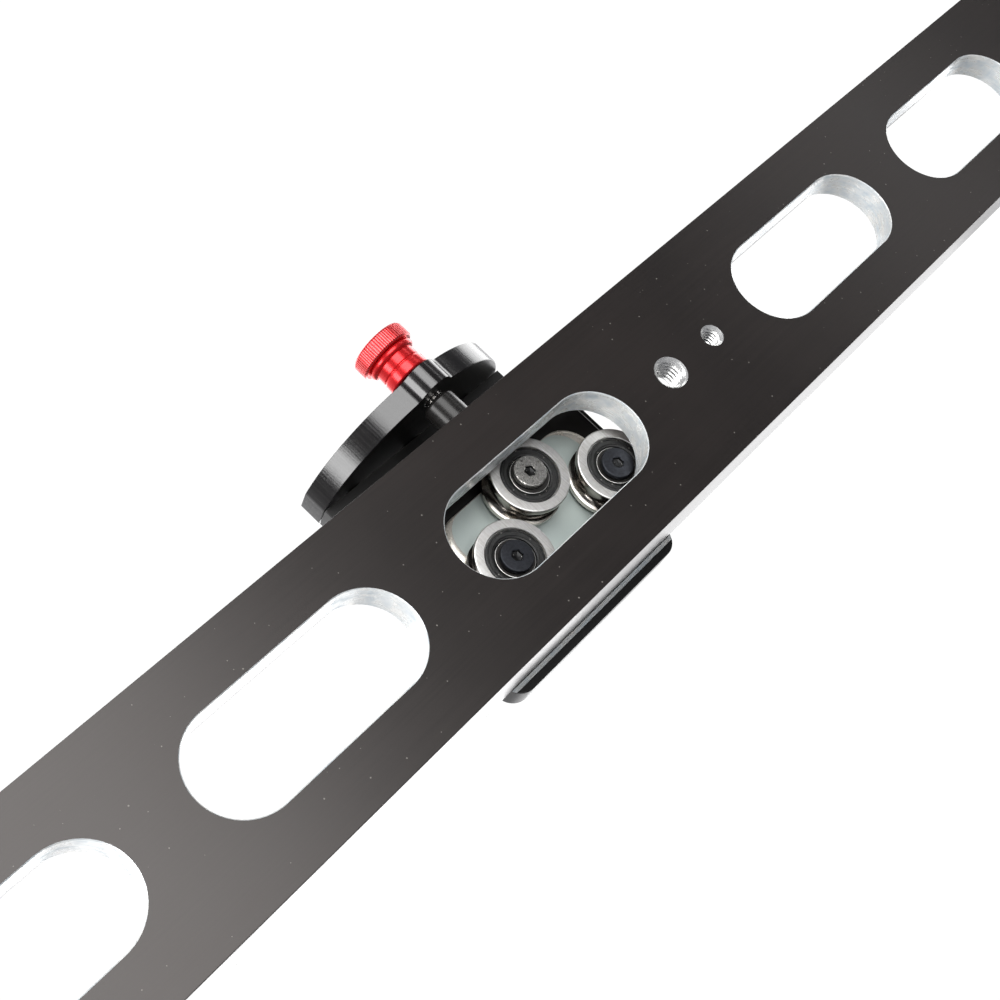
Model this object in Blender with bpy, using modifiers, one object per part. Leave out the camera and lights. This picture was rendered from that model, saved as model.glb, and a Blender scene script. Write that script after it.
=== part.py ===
"""Camera slider: a slotted aluminium rail, a carriage on three grooved rollers and a screw brake.

Metres, +Z up. The origin is on the rail's underside, midway between its two tripod threads.
+X runs along the rail and +Y points away from the brake side.
"""

import math

import bmesh
import bpy
from mathutils import Vector

# Clearances
TOUCH_GAP = 0.0003          # left between two pieces that touch
RUNNING_GAP = 0.0018        # rail top to the carriage plate that passes over it
CUT_MARGIN = 0.002          # how far a cutter reaches past the face it starts from

# Facets round turned and drilled shapes
RING_FACETS = 24
SEAL_FACETS = 20
BORE_FACETS = 20
SMALL_BORE_FACETS = 16
SCREW_FACETS = 14
KNOB_FACETS = 32
PLUNGER_FACETS = 28

# Rail
RAIL_LENGTH = 0.600
RAIL_WIDTH = 0.060
RAIL_HEIGHT = 0.040
WEB_THICKNESS = 0.010
SLOT_WIDTH = 0.0286
SLOT_LENGTH = 0.071
SLOT_LAND = 0.0194          # web left between neighbouring slots
CENTRE_LAND = 0.0589        # web left in the middle, which carries the tripod threads
SLOTS_EACH_SIDE = 3
THREAD_SPACING = 0.0203
LARGE_THREAD_RADIUS = 0.0047625
SMALL_THREAD_RADIUS = 0.003175
THREAD_MOUTH = 0.0004       # countersink at each thread's mouth

# Steel track rods, set into the channel walls
ROD_RADIUS = 0.003
ROLLER_FLANGE_GAP = 0.0007  # roller rim to the channel wall

# Track rollers
ROLLER_RADIUS = 0.0116
ROLLER_WIDTH = 0.010
ROLLER_WEB_GAP = 0.0032     # rail web to the rollers' lower faces
ROLLER_CONTACT_RADIUS = 0.0096
ROLLER_ROW_OFFSET = 0.0071  # roller axes to the rail's centre line
ROLLER_PAIR_SPACING = 0.0443
SEAL_RADIUS = 0.0084
SEAL_THICKNESS = 0.0008
SEAL_RECESS = 0.0003
OUTER_RING_BORE = 0.0079
INNER_RING_RADIUS = 0.00575
INNER_RING_BORE = 0.0040
INNER_RING_RECESS = 0.0006
BALL_RADIUS = 0.00075
BALL_COUNT = 8
BALL_START = 0.37           # where the first ball sits, in ball spacings
RING_EDGE = 0.0004
CAGE_THICKNESS = 0.0007
CAGE_WIDTH = 0.0011
SPACER_THICKNESS = 0.0010
ECCENTRIC_OFFSET = 0.0005
AXLE_RADIUS = 0.0025
AXLE_GRIP = 0.008           # axle screw length in the carriage block
AXLE_HEAD_RADIUS = 0.0048
AXLE_HEAD_HEIGHT = 0.0016
AXLE_HEX = 0.003

# Carriage
CARRIAGE_REST_X = -0.059
ROLLER_PLATE_LENGTH = 0.0600
ROLLER_PLATE_WIDTH = 0.029
ROLLER_PLATE_THICKNESS = 0.0022
ROLLER_PLATE_CORNER = 0.0092
BLOCK_LENGTH = 0.077
BLOCK_SIDE_GAP = 0.0014
BLOCK_CHAMFER = 0.0012
PLATE_LENGTH = 0.0752
PLATE_THICKNESS = 0.0082
PLATE_OVERHANG = 0.0037     # past the rail on the side away from the brake
PLATE_CORNER = 0.006
PLATE_CHAMFER = 0.0006
CARRIAGE_SCREW_INSET_X = 0.0125
CARRIAGE_SCREW_Y = 0.011
CAMERA_PAD_RADIUS = 0.024
CAMERA_PAD_THICKNESS = 0.0015
CAMERA_STUD_RADIUS = 0.0047625
CAMERA_STUD_PROUD = 0.010
CAMERA_STUD_DEPTH = 0.0055
CAMERA_STUD_EDGE = 0.00095

# Brake side
APRON_THICKNESS = 0.0075
APRON_RAIL_GAP = 0.0128
APRON_RADIUS = 0.0392
APRON_CENTRE_ABOVE_TOP = 0.004
NUB_RADIUS = 0.0062
NUB_BELOW_ARC = 0.0042      # how far the nub hangs below the large arc
NUB_FILLET = 0.005
BRAKE_HEIGHT = 0.0197
SPINDLE_RADIUS = 0.003
SPINDLE_TIP = 0.00075
SPINDLE_IN_PLUNGER = 0.0045
SPINDLE_IN_KNOB = 0.008
PLUNGER_RADIUS = 0.0052
PLUNGER_APRON_GAP = 0.0016
PLUNGER_FILLET = 0.0012
BRAKE_TRAVEL = 0.0005       # from the rest pose to the pad on the rail
PAD_RADIUS = 0.004
PAD_BORE_RADIUS = 0.0012
PAD_THICKNESS = 0.0015
KNOB_CAP_RADIUS = 0.009
KNOB_CAP_LENGTH = 0.0051
KNOB_RING_RADIUS = 0.00785
KNOB_RING_LENGTH = 0.0023
KNOB_NECK_RADIUS = 0.0066
KNOB_NECK_LENGTH = 0.0036
KNOB_BASE_RADIUS = 0.0069
KNOB_BASE_LENGTH = 0.0030
KNOB_CHAMFER = 0.0008

# Small screws, used for the carriage, apron and end plates
SCREW_RADIUS = 0.002
SCREW_HEAD_RADIUS = 0.0035
SCREW_HEAD_HEIGHT = 0.0022
SCREW_HEX = 0.0025
SCREW_GRIP = 0.007
HEAD_EDGE_SHARE = 0.2       # of a screw head's height
SOCKET_DEPTH_SHARE = 0.6    # of a screw head's height
SCREW_TIP_SHARE = 0.3       # of a screw's radius
APRON_SCREW_SPACING = 0.024
APRON_SCREW_COUNT = 3

# Rail ends
END_PLATE_THICKNESS = 0.006
END_PLATE_CORNER = 0.003
END_SCREW_BELOW_TOP = 0.008
BUMPER_RADIUS = 0.005
BUMPER_TIP_RADIUS = 0.0045
BUMPER_LENGTH = 0.010

# Sizes that follow from the ones above
ROLLER_BOTTOM = WEB_THICKNESS + ROLLER_WEB_GAP
ROLLER_MIDDLE = ROLLER_BOTTOM + ROLLER_WIDTH / 2
ROLLER_TOP = ROLLER_BOTTOM + ROLLER_WIDTH
GROOVE_RADIUS = ROD_RADIUS + TOUCH_GAP
ROD_TO_ROLLER = ROLLER_CONTACT_RADIUS + ROD_RADIUS
ROD_Y = ROLLER_ROW_OFFSET + ROD_TO_ROLLER
CHANNEL_HALF = ROLLER_ROW_OFFSET + ROLLER_RADIUS + ROLLER_FLANGE_GAP
PLATE_BOTTOM = RAIL_HEIGHT + RUNNING_GAP
PLATE_TOP = PLATE_BOTTOM + PLATE_THICKNESS
ROLLER_PLATE_BOTTOM = ROLLER_TOP + SPACER_THICKNESS
ROLLER_PLATE_TOP = ROLLER_PLATE_BOTTOM + ROLLER_PLATE_THICKNESS
BLOCK_BOTTOM = ROLLER_PLATE_TOP + TOUCH_GAP
BLOCK_TOP = PLATE_BOTTOM - TOUCH_GAP
APRON_INNER_Y = -(RAIL_WIDTH / 2 + APRON_RAIL_GAP)
APRON_OUTER_Y = APRON_INNER_Y - APRON_THICKNESS
WALL_MIDDLE = (CHANNEL_HALF + RAIL_WIDTH / 2) / 2
END_SCREW_Z = RAIL_HEIGHT - END_SCREW_BELOW_TOP

ALONG_X = (0.0, math.pi / 2, 0.0)       # local +Z points along +X
AGAINST_X = (0.0, -math.pi / 2, 0.0)    # local +Z points along -X
AGAINST_Y = (math.pi / 2, 0.0, 0.0)     # local +Z points along -Y
UPSIDE_DOWN = (math.pi, 0.0, 0.0)       # local +Z points down
SECTION = (math.pi / 2, 0.0, math.pi / 2)   # an outline stood up across the rail
UPRIGHT = (0.0, 0.0, 0.0)


def clear_scene():
    """Remove whatever the scene holds, and make the two collections."""
    for item in list(bpy.data.objects):
        bpy.data.objects.remove(item, do_unlink=True)
    collections = {}
    for name in ("camera_slider", "cutters"):
        collections[name] = bpy.data.collections.new(name)
        bpy.context.scene.collection.children.link(collections[name])
    return collections["camera_slider"], collections["cutters"]


PARTS, CUTTERS = clear_scene()


def finish(name, colour, roughness, metallic):
    """A Principled material."""
    material = bpy.data.materials.new(name)
    material.use_nodes = True
    shader = material.node_tree.nodes["Principled BSDF"]
    shader.inputs["Base Color"].default_value = (*colour, 1.0)
    shader.inputs["Roughness"].default_value = roughness
    shader.inputs["Metallic"].default_value = metallic
    return material


BLACK_ANODISED = finish("black_anodised_aluminium", (0.035, 0.033, 0.032), 0.38, 0.5)
SATIN_ALUMINIUM = finish("satin_aluminium", (0.56, 0.60, 0.59), 0.42, 0.8)
BEARING_STEEL = finish("bearing_steel", (0.62, 0.61, 0.59), 0.25, 1.0)
DARK_STEEL = finish("blackened_steel", (0.045, 0.045, 0.052), 0.35, 0.8)
RED_ANODISED = finish("red_anodised_aluminium", (0.62, 0.03, 0.03), 0.3, 0.7)
SEAL_RUBBER = finish("black_seal_rubber", (0.03, 0.03, 0.03), 0.6, 0.0)
PAD_NYLON = finish("white_nylon", (0.75, 0.74, 0.70), 0.5, 0.0)


def add_part(name, mesh, material, location=(0, 0, 0), rotation=UPRIGHT):
    """Place a mesh as one named piece of the slider."""
    piece = bpy.data.objects.new(name, mesh)
    piece.location = location
    piece.rotation_euler = rotation
    mesh.materials.append(material)
    PARTS.objects.link(piece)
    return piece


def arc(centre, radius, start, end, steps):
    """Points on an arc, with both ends, from start to end in radians."""
    points = []
    for step in range(steps + 1):
        angle = start + (end - start) * step / steps
        points.append((centre[0] + radius * math.cos(angle), centre[1] + radius * math.sin(angle)))
    return points


def rounded_rectangle(low_x, high_x, low_y, high_y, radius, steps=6):
    """A rectangle's outline, with its four corners rounded."""
    quarter = math.pi / 2
    outline = arc((high_x - radius, high_y - radius), radius, 0, quarter, steps)
    outline += arc((low_x + radius, high_y - radius), radius, quarter, 2 * quarter, steps)
    outline += arc((low_x + radius, low_y + radius), radius, 2 * quarter, 3 * quarter, steps)
    outline += arc((high_x - radius, low_y + radius), radius, 3 * quarter, 4 * quarter, steps)
    return outline


def stadium(length, width, steps=10):
    """A slot's outline: two straight sides and two half-round ends."""
    radius = width / 2
    reach = length / 2 - radius
    outline = arc((reach, 0), radius, -math.pi / 2, math.pi / 2, steps)
    return outline + arc((-reach, 0), radius, math.pi / 2, 3 * math.pi / 2, steps)


def slab_mesh(name, outline, thickness):
    """A flat outline given a thickness about its own plane, as a closed mesh."""
    curve = bpy.data.curves.new(name, "CURVE")
    curve.dimensions = "2D"
    curve.fill_mode = "BOTH"
    curve.extrude = thickness / 2
    spline = curve.splines.new("POLY")
    spline.points.add(len(outline) - 1)
    for point, (x, y) in zip(spline.points, outline):
        point.co = (x, y, 0, 1)
    spline.use_cyclic_u = True
    sketch = bpy.data.objects.new(name, curve)
    PARTS.objects.link(sketch)
    evaluated = sketch.evaluated_get(bpy.context.evaluated_depsgraph_get())
    mesh = bpy.data.meshes.new_from_object(evaluated)
    bpy.data.objects.remove(sketch, do_unlink=True)
    shape = bmesh.new()
    shape.from_mesh(mesh)
    bmesh.ops.remove_doubles(shape, verts=shape.verts, dist=0.000001)
    bmesh.ops.recalc_face_normals(shape, faces=shape.faces)
    shape.to_mesh(mesh)
    shape.free()
    mesh.materials.clear()
    return mesh


def turned(name, profile, material, segments, location, rotation=UPRIGHT, closed=False):
    """A turned piece: a profile of (radius, height), down its outer side, spun about local Z."""
    mesh = bpy.data.meshes.new(name)
    vertices = [(radius, 0, height) for radius, height in profile]
    edges = [(i, i + 1) for i in range(len(profile) - 1)]
    if closed:
        edges.append((len(profile) - 1, 0))
    mesh.from_pydata(vertices, edges, [])
    piece = add_part(name, mesh, material, location, rotation)
    screw = piece.modifiers.new("spin", "SCREW")
    screw.steps = segments
    screw.render_steps = segments
    screw.use_merge_vertices = True
    screw.merge_threshold = 0.00001
    screw.use_smooth_shade = True
    return piece


def ring(name, outer, inner, low, high, material, segments, location, rotation=UPRIGHT):
    """A plain ring between two radii and two heights."""
    profile = [(outer, high), (outer, low), (inner, low), (inner, high)]
    return turned(name, profile, material, segments, location, rotation, closed=True)


def block_mesh(name, size):
    """A box mesh centred on its own origin."""
    mesh = bpy.data.meshes.new(name)
    shape = bmesh.new()
    bmesh.ops.create_cube(shape, size=1.0)
    bmesh.ops.scale(shape, vec=size, verts=shape.verts)
    shape.to_mesh(mesh)
    shape.free()
    return mesh


def prism_mesh(name, low_radius, high_radius, height, sides):
    """A prism, cylinder or cone standing on z = 0."""
    mesh = bpy.data.meshes.new(name)
    shape = bmesh.new()
    bmesh.ops.create_cone(shape, cap_ends=True, segments=sides, radius1=low_radius,
                          radius2=high_radius, depth=height)
    bmesh.ops.translate(shape, vec=(0, 0, height / 2), verts=shape.verts)
    shape.to_mesh(mesh)
    shape.free()
    return mesh


def countersunk_mesh(name, radius, sink, depth, sides):
    """A drill with a countersink, from z = -sink up to z = depth."""
    mesh = prism_mesh(name, radius + 2 * sink, radius, 2 * sink, sides)
    shape = bmesh.new()
    shape.from_mesh(mesh)
    bmesh.ops.translate(shape, vec=(0, 0, -sink), verts=shape.verts)
    top = [face for face in shape.faces if face.normal.z > 0.9]
    grown = bmesh.ops.extrude_face_region(shape, geom=top)["geom"]
    raised = [item for item in grown if isinstance(item, bmesh.types.BMVert)]
    bmesh.ops.translate(shape, vec=(0, 0, depth - sink), verts=raised)
    bmesh.ops.delete(shape, geom=top, context="FACES_ONLY")
    shape.to_mesh(mesh)
    shape.free()
    return mesh


def cut(piece, mesh, location, rotation=UPRIGHT):
    """Take a cutter's shape out of a piece."""
    cutter = bpy.data.objects.new("cut_" + mesh.name, mesh)
    cutter.location = location
    cutter.rotation_euler = rotation
    cutter.hide_render = True
    cutter.display_type = "WIRE"
    CUTTERS.objects.link(cutter)
    boolean = piece.modifiers.new("cut", "BOOLEAN")
    boolean.operation = "DIFFERENCE"
    boolean.object = cutter


def drill(piece, radius, depth, location, rotation=UPRIGHT, sides=BORE_FACETS):
    """Drill a round hole along local +Z from a point just outside the piece."""
    cut(piece, prism_mesh("drill", radius, radius, depth, sides), location, rotation)


def chamfer(piece, width, angle_limit=60):
    """Break the sharp edges of a piece."""
    bevel = piece.modifiers.new("chamfer", "BEVEL")
    bevel.width = width
    bevel.segments = 1
    bevel.limit_method = "ANGLE"
    bevel.angle_limit = math.radians(angle_limit)


def socket_screw(name, head_radius, head_height, radius, length, hex_size, location, rotation,
                 material=DARK_STEEL):
    """A socket screw. Its seat is at local z = 0, its head above and its shank below."""
    edge = head_height * HEAD_EDGE_SHARE
    tip = radius * SCREW_TIP_SHARE
    profile = [(0, head_height), (head_radius - edge, head_height), (head_radius, head_height - edge),
               (head_radius, 0), (radius, 0), (radius, tip - length), (radius - tip, -length),
               (0, -length)]
    screw = turned(name, profile, material, SCREW_FACETS, location, rotation)
    depth = head_height * SOCKET_DEPTH_SHARE
    socket = prism_mesh("socket", hex_size / math.sqrt(3), hex_size / math.sqrt(3), depth * 2, 6)
    offset = head_height - depth
    turn = screw.rotation_euler.to_matrix()
    cut(screw, socket, Vector(location) + turn @ Vector((0, 0, offset)), rotation)
    return screw


def slot_centres():
    """The slots' centres along the rail, on both sides of the centre land."""
    pitch = SLOT_LENGTH + SLOT_LAND
    first = CENTRE_LAND / 2 + SLOT_LENGTH / 2
    right = [first + pitch * i for i in range(SLOTS_EACH_SIDE)]
    return [-x for x in reversed(right)] + right


def rail_section():
    """The channel's cross-section, with a round groove for a rod in each wall."""
    half = RAIL_WIDTH / 2
    opening = math.acos((ROD_Y - CHANNEL_HALF) / GROOVE_RADIUS)
    right = arc((ROD_Y, ROLLER_MIDDLE), GROOVE_RADIUS, math.pi + opening, 3 * math.pi - opening, 12)
    left = [(-y, z) for y, z in reversed(right)]
    outline = [(-half, 0), (half, 0), (half, RAIL_HEIGHT), (CHANNEL_HALF, RAIL_HEIGHT)]
    outline += list(reversed(right))
    outline += [(CHANNEL_HALF, WEB_THICKNESS), (-CHANNEL_HALF, WEB_THICKNESS)]
    outline += list(reversed(left))
    outline.append((-CHANNEL_HALF, RAIL_HEIGHT))
    outline.append((-half, RAIL_HEIGHT))
    return outline


def build_rail():
    """The extruded rail: a channel with six slots and two tripod threads in its web."""
    mesh = slab_mesh("rail_body", rail_section(), RAIL_LENGTH)
    rail = add_part("rail_body", mesh, BLACK_ANODISED, rotation=SECTION)
    for x in slot_centres():
        slot = slab_mesh("slot", stadium(SLOT_LENGTH, SLOT_WIDTH), WEB_THICKNESS + 2 * CUT_MARGIN)
        cut(rail, slot, (x, 0, WEB_THICKNESS / 2))
    threads = ((-1, LARGE_THREAD_RADIUS), (1, SMALL_THREAD_RADIUS))
    for side, radius in threads:
        mesh = countersunk_mesh("thread", radius, THREAD_MOUTH, WEB_THICKNESS + CUT_MARGIN,
                                RING_FACETS)
        cut(rail, mesh, (side * THREAD_SPACING / 2, 0, 0))
    for end in (-1, 1):
        for side in (-1, 1):
            drill(rail, SCREW_RADIUS + TOUCH_GAP, SCREW_GRIP + 2 * CUT_MARGIN,
                  (end * (RAIL_LENGTH / 2 + CUT_MARGIN), side * WALL_MIDDLE, END_SCREW_Z),
                  AGAINST_X if end > 0 else ALONG_X, SMALL_BORE_FACETS)


def build_rods():
    """The two hardened steel rods that the rollers run on."""
    for name, side in (("track_rod_brake_side", -1), ("track_rod_far_side", 1)):
        mesh = prism_mesh(name, ROD_RADIUS, ROD_RADIUS, RAIL_LENGTH, RING_FACETS)
        add_part(name, mesh, BEARING_STEEL, (-RAIL_LENGTH / 2, side * ROD_Y, ROLLER_MIDDLE), ALONG_X)


def build_ends():
    """End plates, their screws and the rubber bumpers that stop the carriage."""
    for end, name in ((-1, "left"), (1, "right")):
        outline = rounded_rectangle(-RAIL_WIDTH / 2, RAIL_WIDTH / 2, 0, RAIL_HEIGHT, END_PLATE_CORNER)
        mesh = slab_mesh("end_plate_" + name, outline, END_PLATE_THICKNESS)
        inner = RAIL_LENGTH / 2 + TOUCH_GAP
        middle = end * (inner + END_PLATE_THICKNESS / 2)
        plate = add_part("end_plate_" + name, mesh, BLACK_ANODISED, (middle, 0, 0), SECTION)
        outwards = ALONG_X if end > 0 else AGAINST_X
        seat = end * (inner + END_PLATE_THICKNESS + TOUCH_GAP)
        for side, place in ((-1, "brake_side"), (1, "far_side")):
            drill(plate, SCREW_RADIUS + TOUCH_GAP, 2 * END_PLATE_THICKNESS,
                  (middle - end * END_PLATE_THICKNESS, side * WALL_MIDDLE, END_SCREW_Z), outwards,
                  SMALL_BORE_FACETS)
            socket_screw("end_screw_" + name + "_" + place, SCREW_HEAD_RADIUS, SCREW_HEAD_HEIGHT,
                         SCREW_RADIUS, SCREW_GRIP + END_PLATE_THICKNESS, SCREW_HEX,
                         (seat, side * WALL_MIDDLE, END_SCREW_Z), outwards)
        bumper = prism_mesh("bumper_" + name, BUMPER_RADIUS, BUMPER_TIP_RADIUS, BUMPER_LENGTH,
                            RING_FACETS)
        inwards = AGAINST_X if end > 0 else ALONG_X
        add_part("bumper_" + name, bumper, SEAL_RUBBER,
                 (end * RAIL_LENGTH / 2, 0, (BLOCK_BOTTOM + BLOCK_TOP) / 2), inwards)


def roller_places():
    """Each roller's name, axis position and screw offset across the rail."""
    half = ROLLER_PAIR_SPACING / 2
    return (("eccentric", CARRIAGE_REST_X, -ROLLER_ROW_OFFSET, -ECCENTRIC_OFFSET),
            ("left", CARRIAGE_REST_X - half, ROLLER_ROW_OFFSET, 0.0),
            ("right", CARRIAGE_REST_X + half, ROLLER_ROW_OFFSET, 0.0))


def outer_ring_profile():
    """Outer ring: a round groove outside, a raceway inside and a seat for each seal."""
    edge = RING_EDGE
    half = ROLLER_WIDTH / 2
    seat_radius = SEAL_RADIUS + TOUCH_GAP
    seat_depth = SEAL_RECESS + SEAL_THICKNESS + TOUCH_GAP
    meeting = math.acos((ROD_TO_ROLLER - ROLLER_RADIUS) / GROOVE_RADIUS)
    groove = arc((ROD_TO_ROLLER, 0), GROOVE_RADIUS, math.pi - meeting, math.pi + meeting, 6)
    profile = [(seat_radius, half), (ROLLER_RADIUS - edge, half), (ROLLER_RADIUS, half - edge)]
    profile += groove
    profile += [(ROLLER_RADIUS, edge - half), (ROLLER_RADIUS - edge, -half), (seat_radius, -half),
                (seat_radius, seat_depth - half), (OUTER_RING_BORE, seat_depth - half),
                (OUTER_RING_BORE, half - seat_depth), (seat_radius, half - seat_depth)]
    return profile


def build_ball_cage(name, place):
    """The cage with its balls, joined into one solid that turns between the rings."""
    middle = (INNER_RING_RADIUS + OUTER_RING_BORE) / 2
    cage = ring(name, middle + CAGE_THICKNESS / 2, middle - CAGE_THICKNESS / 2, -CAGE_WIDTH / 2,
                CAGE_WIDTH / 2, BEARING_STEEL, 3 * BALL_COUNT, place)
    for index in range(BALL_COUNT):
        angle = 2 * math.pi * (index + BALL_START) / BALL_COUNT
        mesh = bpy.data.meshes.new("ball")
        shape = bmesh.new()
        bmesh.ops.create_uvsphere(shape, u_segments=6, v_segments=4, radius=BALL_RADIUS)
        shape.to_mesh(mesh)
        shape.free()
        cut(cage, mesh, (place[0] + middle * math.cos(angle), place[1] + middle * math.sin(angle),
                         place[2]))
        cage.modifiers[-1].operation = "UNION"


def build_rollers():
    """Three grooved rollers with their bearings, bushes, spacers and axle screws."""
    front = ROLLER_BOTTOM
    inner_front = front + INNER_RING_RECESS
    for name, x, y, screw_shift in roller_places():
        node = "roller_" + name
        axis = (x, y, ROLLER_MIDDLE)
        turned(node + "_outer_ring", outer_ring_profile(), BEARING_STEEL, RING_FACETS, axis,
               closed=True)
        build_ball_cage(node + "_ball_cage", axis)
        for face, sign in (("front", -1), ("back", 1)):
            seal_outer = sign * (ROLLER_WIDTH / 2 - SEAL_RECESS)
            seal_inner = seal_outer - sign * SEAL_THICKNESS
            ring(node + "_seal_" + face, SEAL_RADIUS, INNER_RING_RADIUS + TOUCH_GAP,
                 min(seal_outer, seal_inner), max(seal_outer, seal_inner), SEAL_RUBBER,
                 SEAL_FACETS, axis)
        low = inner_front - ROLLER_MIDDLE
        high = ROLLER_WIDTH / 2
        ring(node + "_inner_ring", INNER_RING_RADIUS, INNER_RING_BORE, low, high, BEARING_STEEL,
             RING_FACETS, axis)
        bush_radius = INNER_RING_BORE - TOUCH_GAP
        bush = turned(node + "_bush", [(0, high), (bush_radius, high), (bush_radius, low), (0, low)],
                      BEARING_STEEL, BORE_FACETS, axis)
        screw_y = y + screw_shift
        drill(bush, AXLE_RADIUS + TOUCH_GAP, 2 * ROLLER_WIDTH, (x, screw_y, front))
        ring(node + "_spacer", INNER_RING_RADIUS, AXLE_RADIUS + TOUCH_GAP + ECCENTRIC_OFFSET,
             ROLLER_TOP + TOUCH_GAP, ROLLER_PLATE_BOTTOM - TOUCH_GAP, BEARING_STEEL, BORE_FACETS,
             (x, y, 0))
        seat = inner_front - TOUCH_GAP
        length = ROLLER_PLATE_TOP - seat + AXLE_GRIP
        socket_screw(node + "_axle_screw", AXLE_HEAD_RADIUS, AXLE_HEAD_HEIGHT, AXLE_RADIUS, length,
                     AXLE_HEX, (x, screw_y, seat), UPSIDE_DOWN)


def build_roller_plate():
    """The pale plate that the rollers' axle screws clamp to the carriage block."""
    half_x = ROLLER_PLATE_LENGTH / 2
    half_y = ROLLER_PLATE_WIDTH / 2
    outline = rounded_rectangle(-half_x, half_x, -half_y, half_y, ROLLER_PLATE_CORNER)
    mesh = slab_mesh("roller_plate", outline, ROLLER_PLATE_THICKNESS)
    middle = ROLLER_PLATE_BOTTOM + ROLLER_PLATE_THICKNESS / 2
    plate = add_part("roller_plate", mesh, SATIN_ALUMINIUM, (CARRIAGE_REST_X, 0, middle))
    for _, x, y, screw_shift in roller_places():
        drill(plate, AXLE_RADIUS + TOUCH_GAP, 2 * ROLLER_PLATE_THICKNESS,
              (x, y + screw_shift, ROLLER_PLATE_BOTTOM - ROLLER_PLATE_THICKNESS / 2))


def carriage_screw_places():
    """The four screws that hold the block to the carriage plate."""
    reach = BLOCK_LENGTH / 2 - CARRIAGE_SCREW_INSET_X
    places = []
    for end, end_name in ((-1, "left"), (1, "right")):
        for side, side_name in ((-1, "brake_side"), (1, "far_side")):
            places.append((end_name + "_" + side_name, CARRIAGE_REST_X + end * reach,
                           side * CARRIAGE_SCREW_Y))
    return places


def build_block():
    """The block that hangs in the channel and carries the roller plate."""
    half_width = CHANNEL_HALF - BLOCK_SIDE_GAP
    height = BLOCK_TOP - BLOCK_BOTTOM
    mesh = block_mesh("carriage_block", (BLOCK_LENGTH, 2 * half_width, height))
    block = add_part("carriage_block", mesh, BLACK_ANODISED,
                     (CARRIAGE_REST_X, 0, BLOCK_BOTTOM + height / 2))
    chamfer(block, BLOCK_CHAMFER)
    for _, x, y, screw_shift in roller_places():
        drill(block, AXLE_RADIUS + TOUCH_GAP, AXLE_GRIP + 2 * TOUCH_GAP + BLOCK_CHAMFER,
              (x, y + screw_shift, BLOCK_BOTTOM - BLOCK_CHAMFER))
    for _, x, y in carriage_screw_places():
        depth = SCREW_GRIP + 2 * TOUCH_GAP + BLOCK_CHAMFER
        drill(block, SCREW_RADIUS + TOUCH_GAP, depth, (x, y, BLOCK_TOP + BLOCK_CHAMFER),
              UPSIDE_DOWN, SMALL_BORE_FACETS)


def build_carriage_plate():
    """The top plate, with its counterbored screws, camera stud and grip pad."""
    low_y = APRON_INNER_Y + TOUCH_GAP
    high_y = RAIL_WIDTH / 2 + PLATE_OVERHANG
    half_x = PLATE_LENGTH / 2
    quarter = math.pi / 2
    outline = arc((half_x - PLATE_CORNER, high_y - PLATE_CORNER), PLATE_CORNER, 0, quarter, 6)
    outline += arc((PLATE_CORNER - half_x, high_y - PLATE_CORNER), PLATE_CORNER, quarter,
                   2 * quarter, 6)
    outline += [(-half_x, low_y), (half_x, low_y)]
    mesh = slab_mesh("carriage_plate", outline, PLATE_THICKNESS)
    middle = PLATE_BOTTOM + PLATE_THICKNESS / 2
    plate = add_part("carriage_plate", mesh, BLACK_ANODISED, (CARRIAGE_REST_X, 0, middle))
    chamfer(plate, PLATE_CHAMFER)
    sink = SCREW_HEAD_HEIGHT + 2 * TOUCH_GAP
    for name, x, y in carriage_screw_places():
        drill(plate, SCREW_RADIUS + TOUCH_GAP, 2 * PLATE_THICKNESS,
              (x, y, middle - PLATE_THICKNESS), sides=SMALL_BORE_FACETS)
        drill(plate, SCREW_HEAD_RADIUS + TOUCH_GAP, 2 * sink, (x, y, PLATE_TOP - sink))
        seat = PLATE_TOP - sink + TOUCH_GAP
        length = seat - BLOCK_TOP + SCREW_GRIP
        socket_screw("carriage_screw_" + name, SCREW_HEAD_RADIUS, SCREW_HEAD_HEIGHT, SCREW_RADIUS,
                     length, SCREW_HEX, (x, y, seat), UPRIGHT)
    for step in range(APRON_SCREW_COUNT):
        x = CARRIAGE_REST_X + (step - (APRON_SCREW_COUNT - 1) / 2) * APRON_SCREW_SPACING
        drill(plate, SCREW_RADIUS + TOUCH_GAP, SCREW_GRIP + 3 * TOUCH_GAP,
              (x, low_y + SCREW_GRIP + TOUCH_GAP, middle), AGAINST_Y, SMALL_BORE_FACETS)
    drill(plate, CAMERA_STUD_RADIUS + TOUCH_GAP, 2 * CAMERA_STUD_DEPTH,
          (CARRIAGE_REST_X, 0, PLATE_TOP - CAMERA_STUD_DEPTH), sides=RING_FACETS)
    build_camera_mount()


def build_camera_mount():
    """The stud that a camera head screws onto, and the ring of rubber that it grips."""
    stud_length = CAMERA_STUD_DEPTH + CAMERA_PAD_THICKNESS + CAMERA_STUD_PROUD - TOUCH_GAP
    edge = CAMERA_STUD_EDGE
    profile = [(0, stud_length), (CAMERA_STUD_RADIUS - edge, stud_length),
               (CAMERA_STUD_RADIUS, stud_length - edge), (CAMERA_STUD_RADIUS, 0), (0, 0)]
    turned("camera_stud", profile, BEARING_STEEL, RING_FACETS,
           (CARRIAGE_REST_X, 0, PLATE_TOP - CAMERA_STUD_DEPTH + TOUCH_GAP))
    low = PLATE_TOP + TOUCH_GAP
    ring("camera_pad", CAMERA_PAD_RADIUS, CAMERA_STUD_RADIUS + 2 * TOUCH_GAP, low,
         low + CAMERA_PAD_THICKNESS, SEAL_RUBBER, KNOB_FACETS, (CARRIAGE_REST_X, 0, 0))


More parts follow.
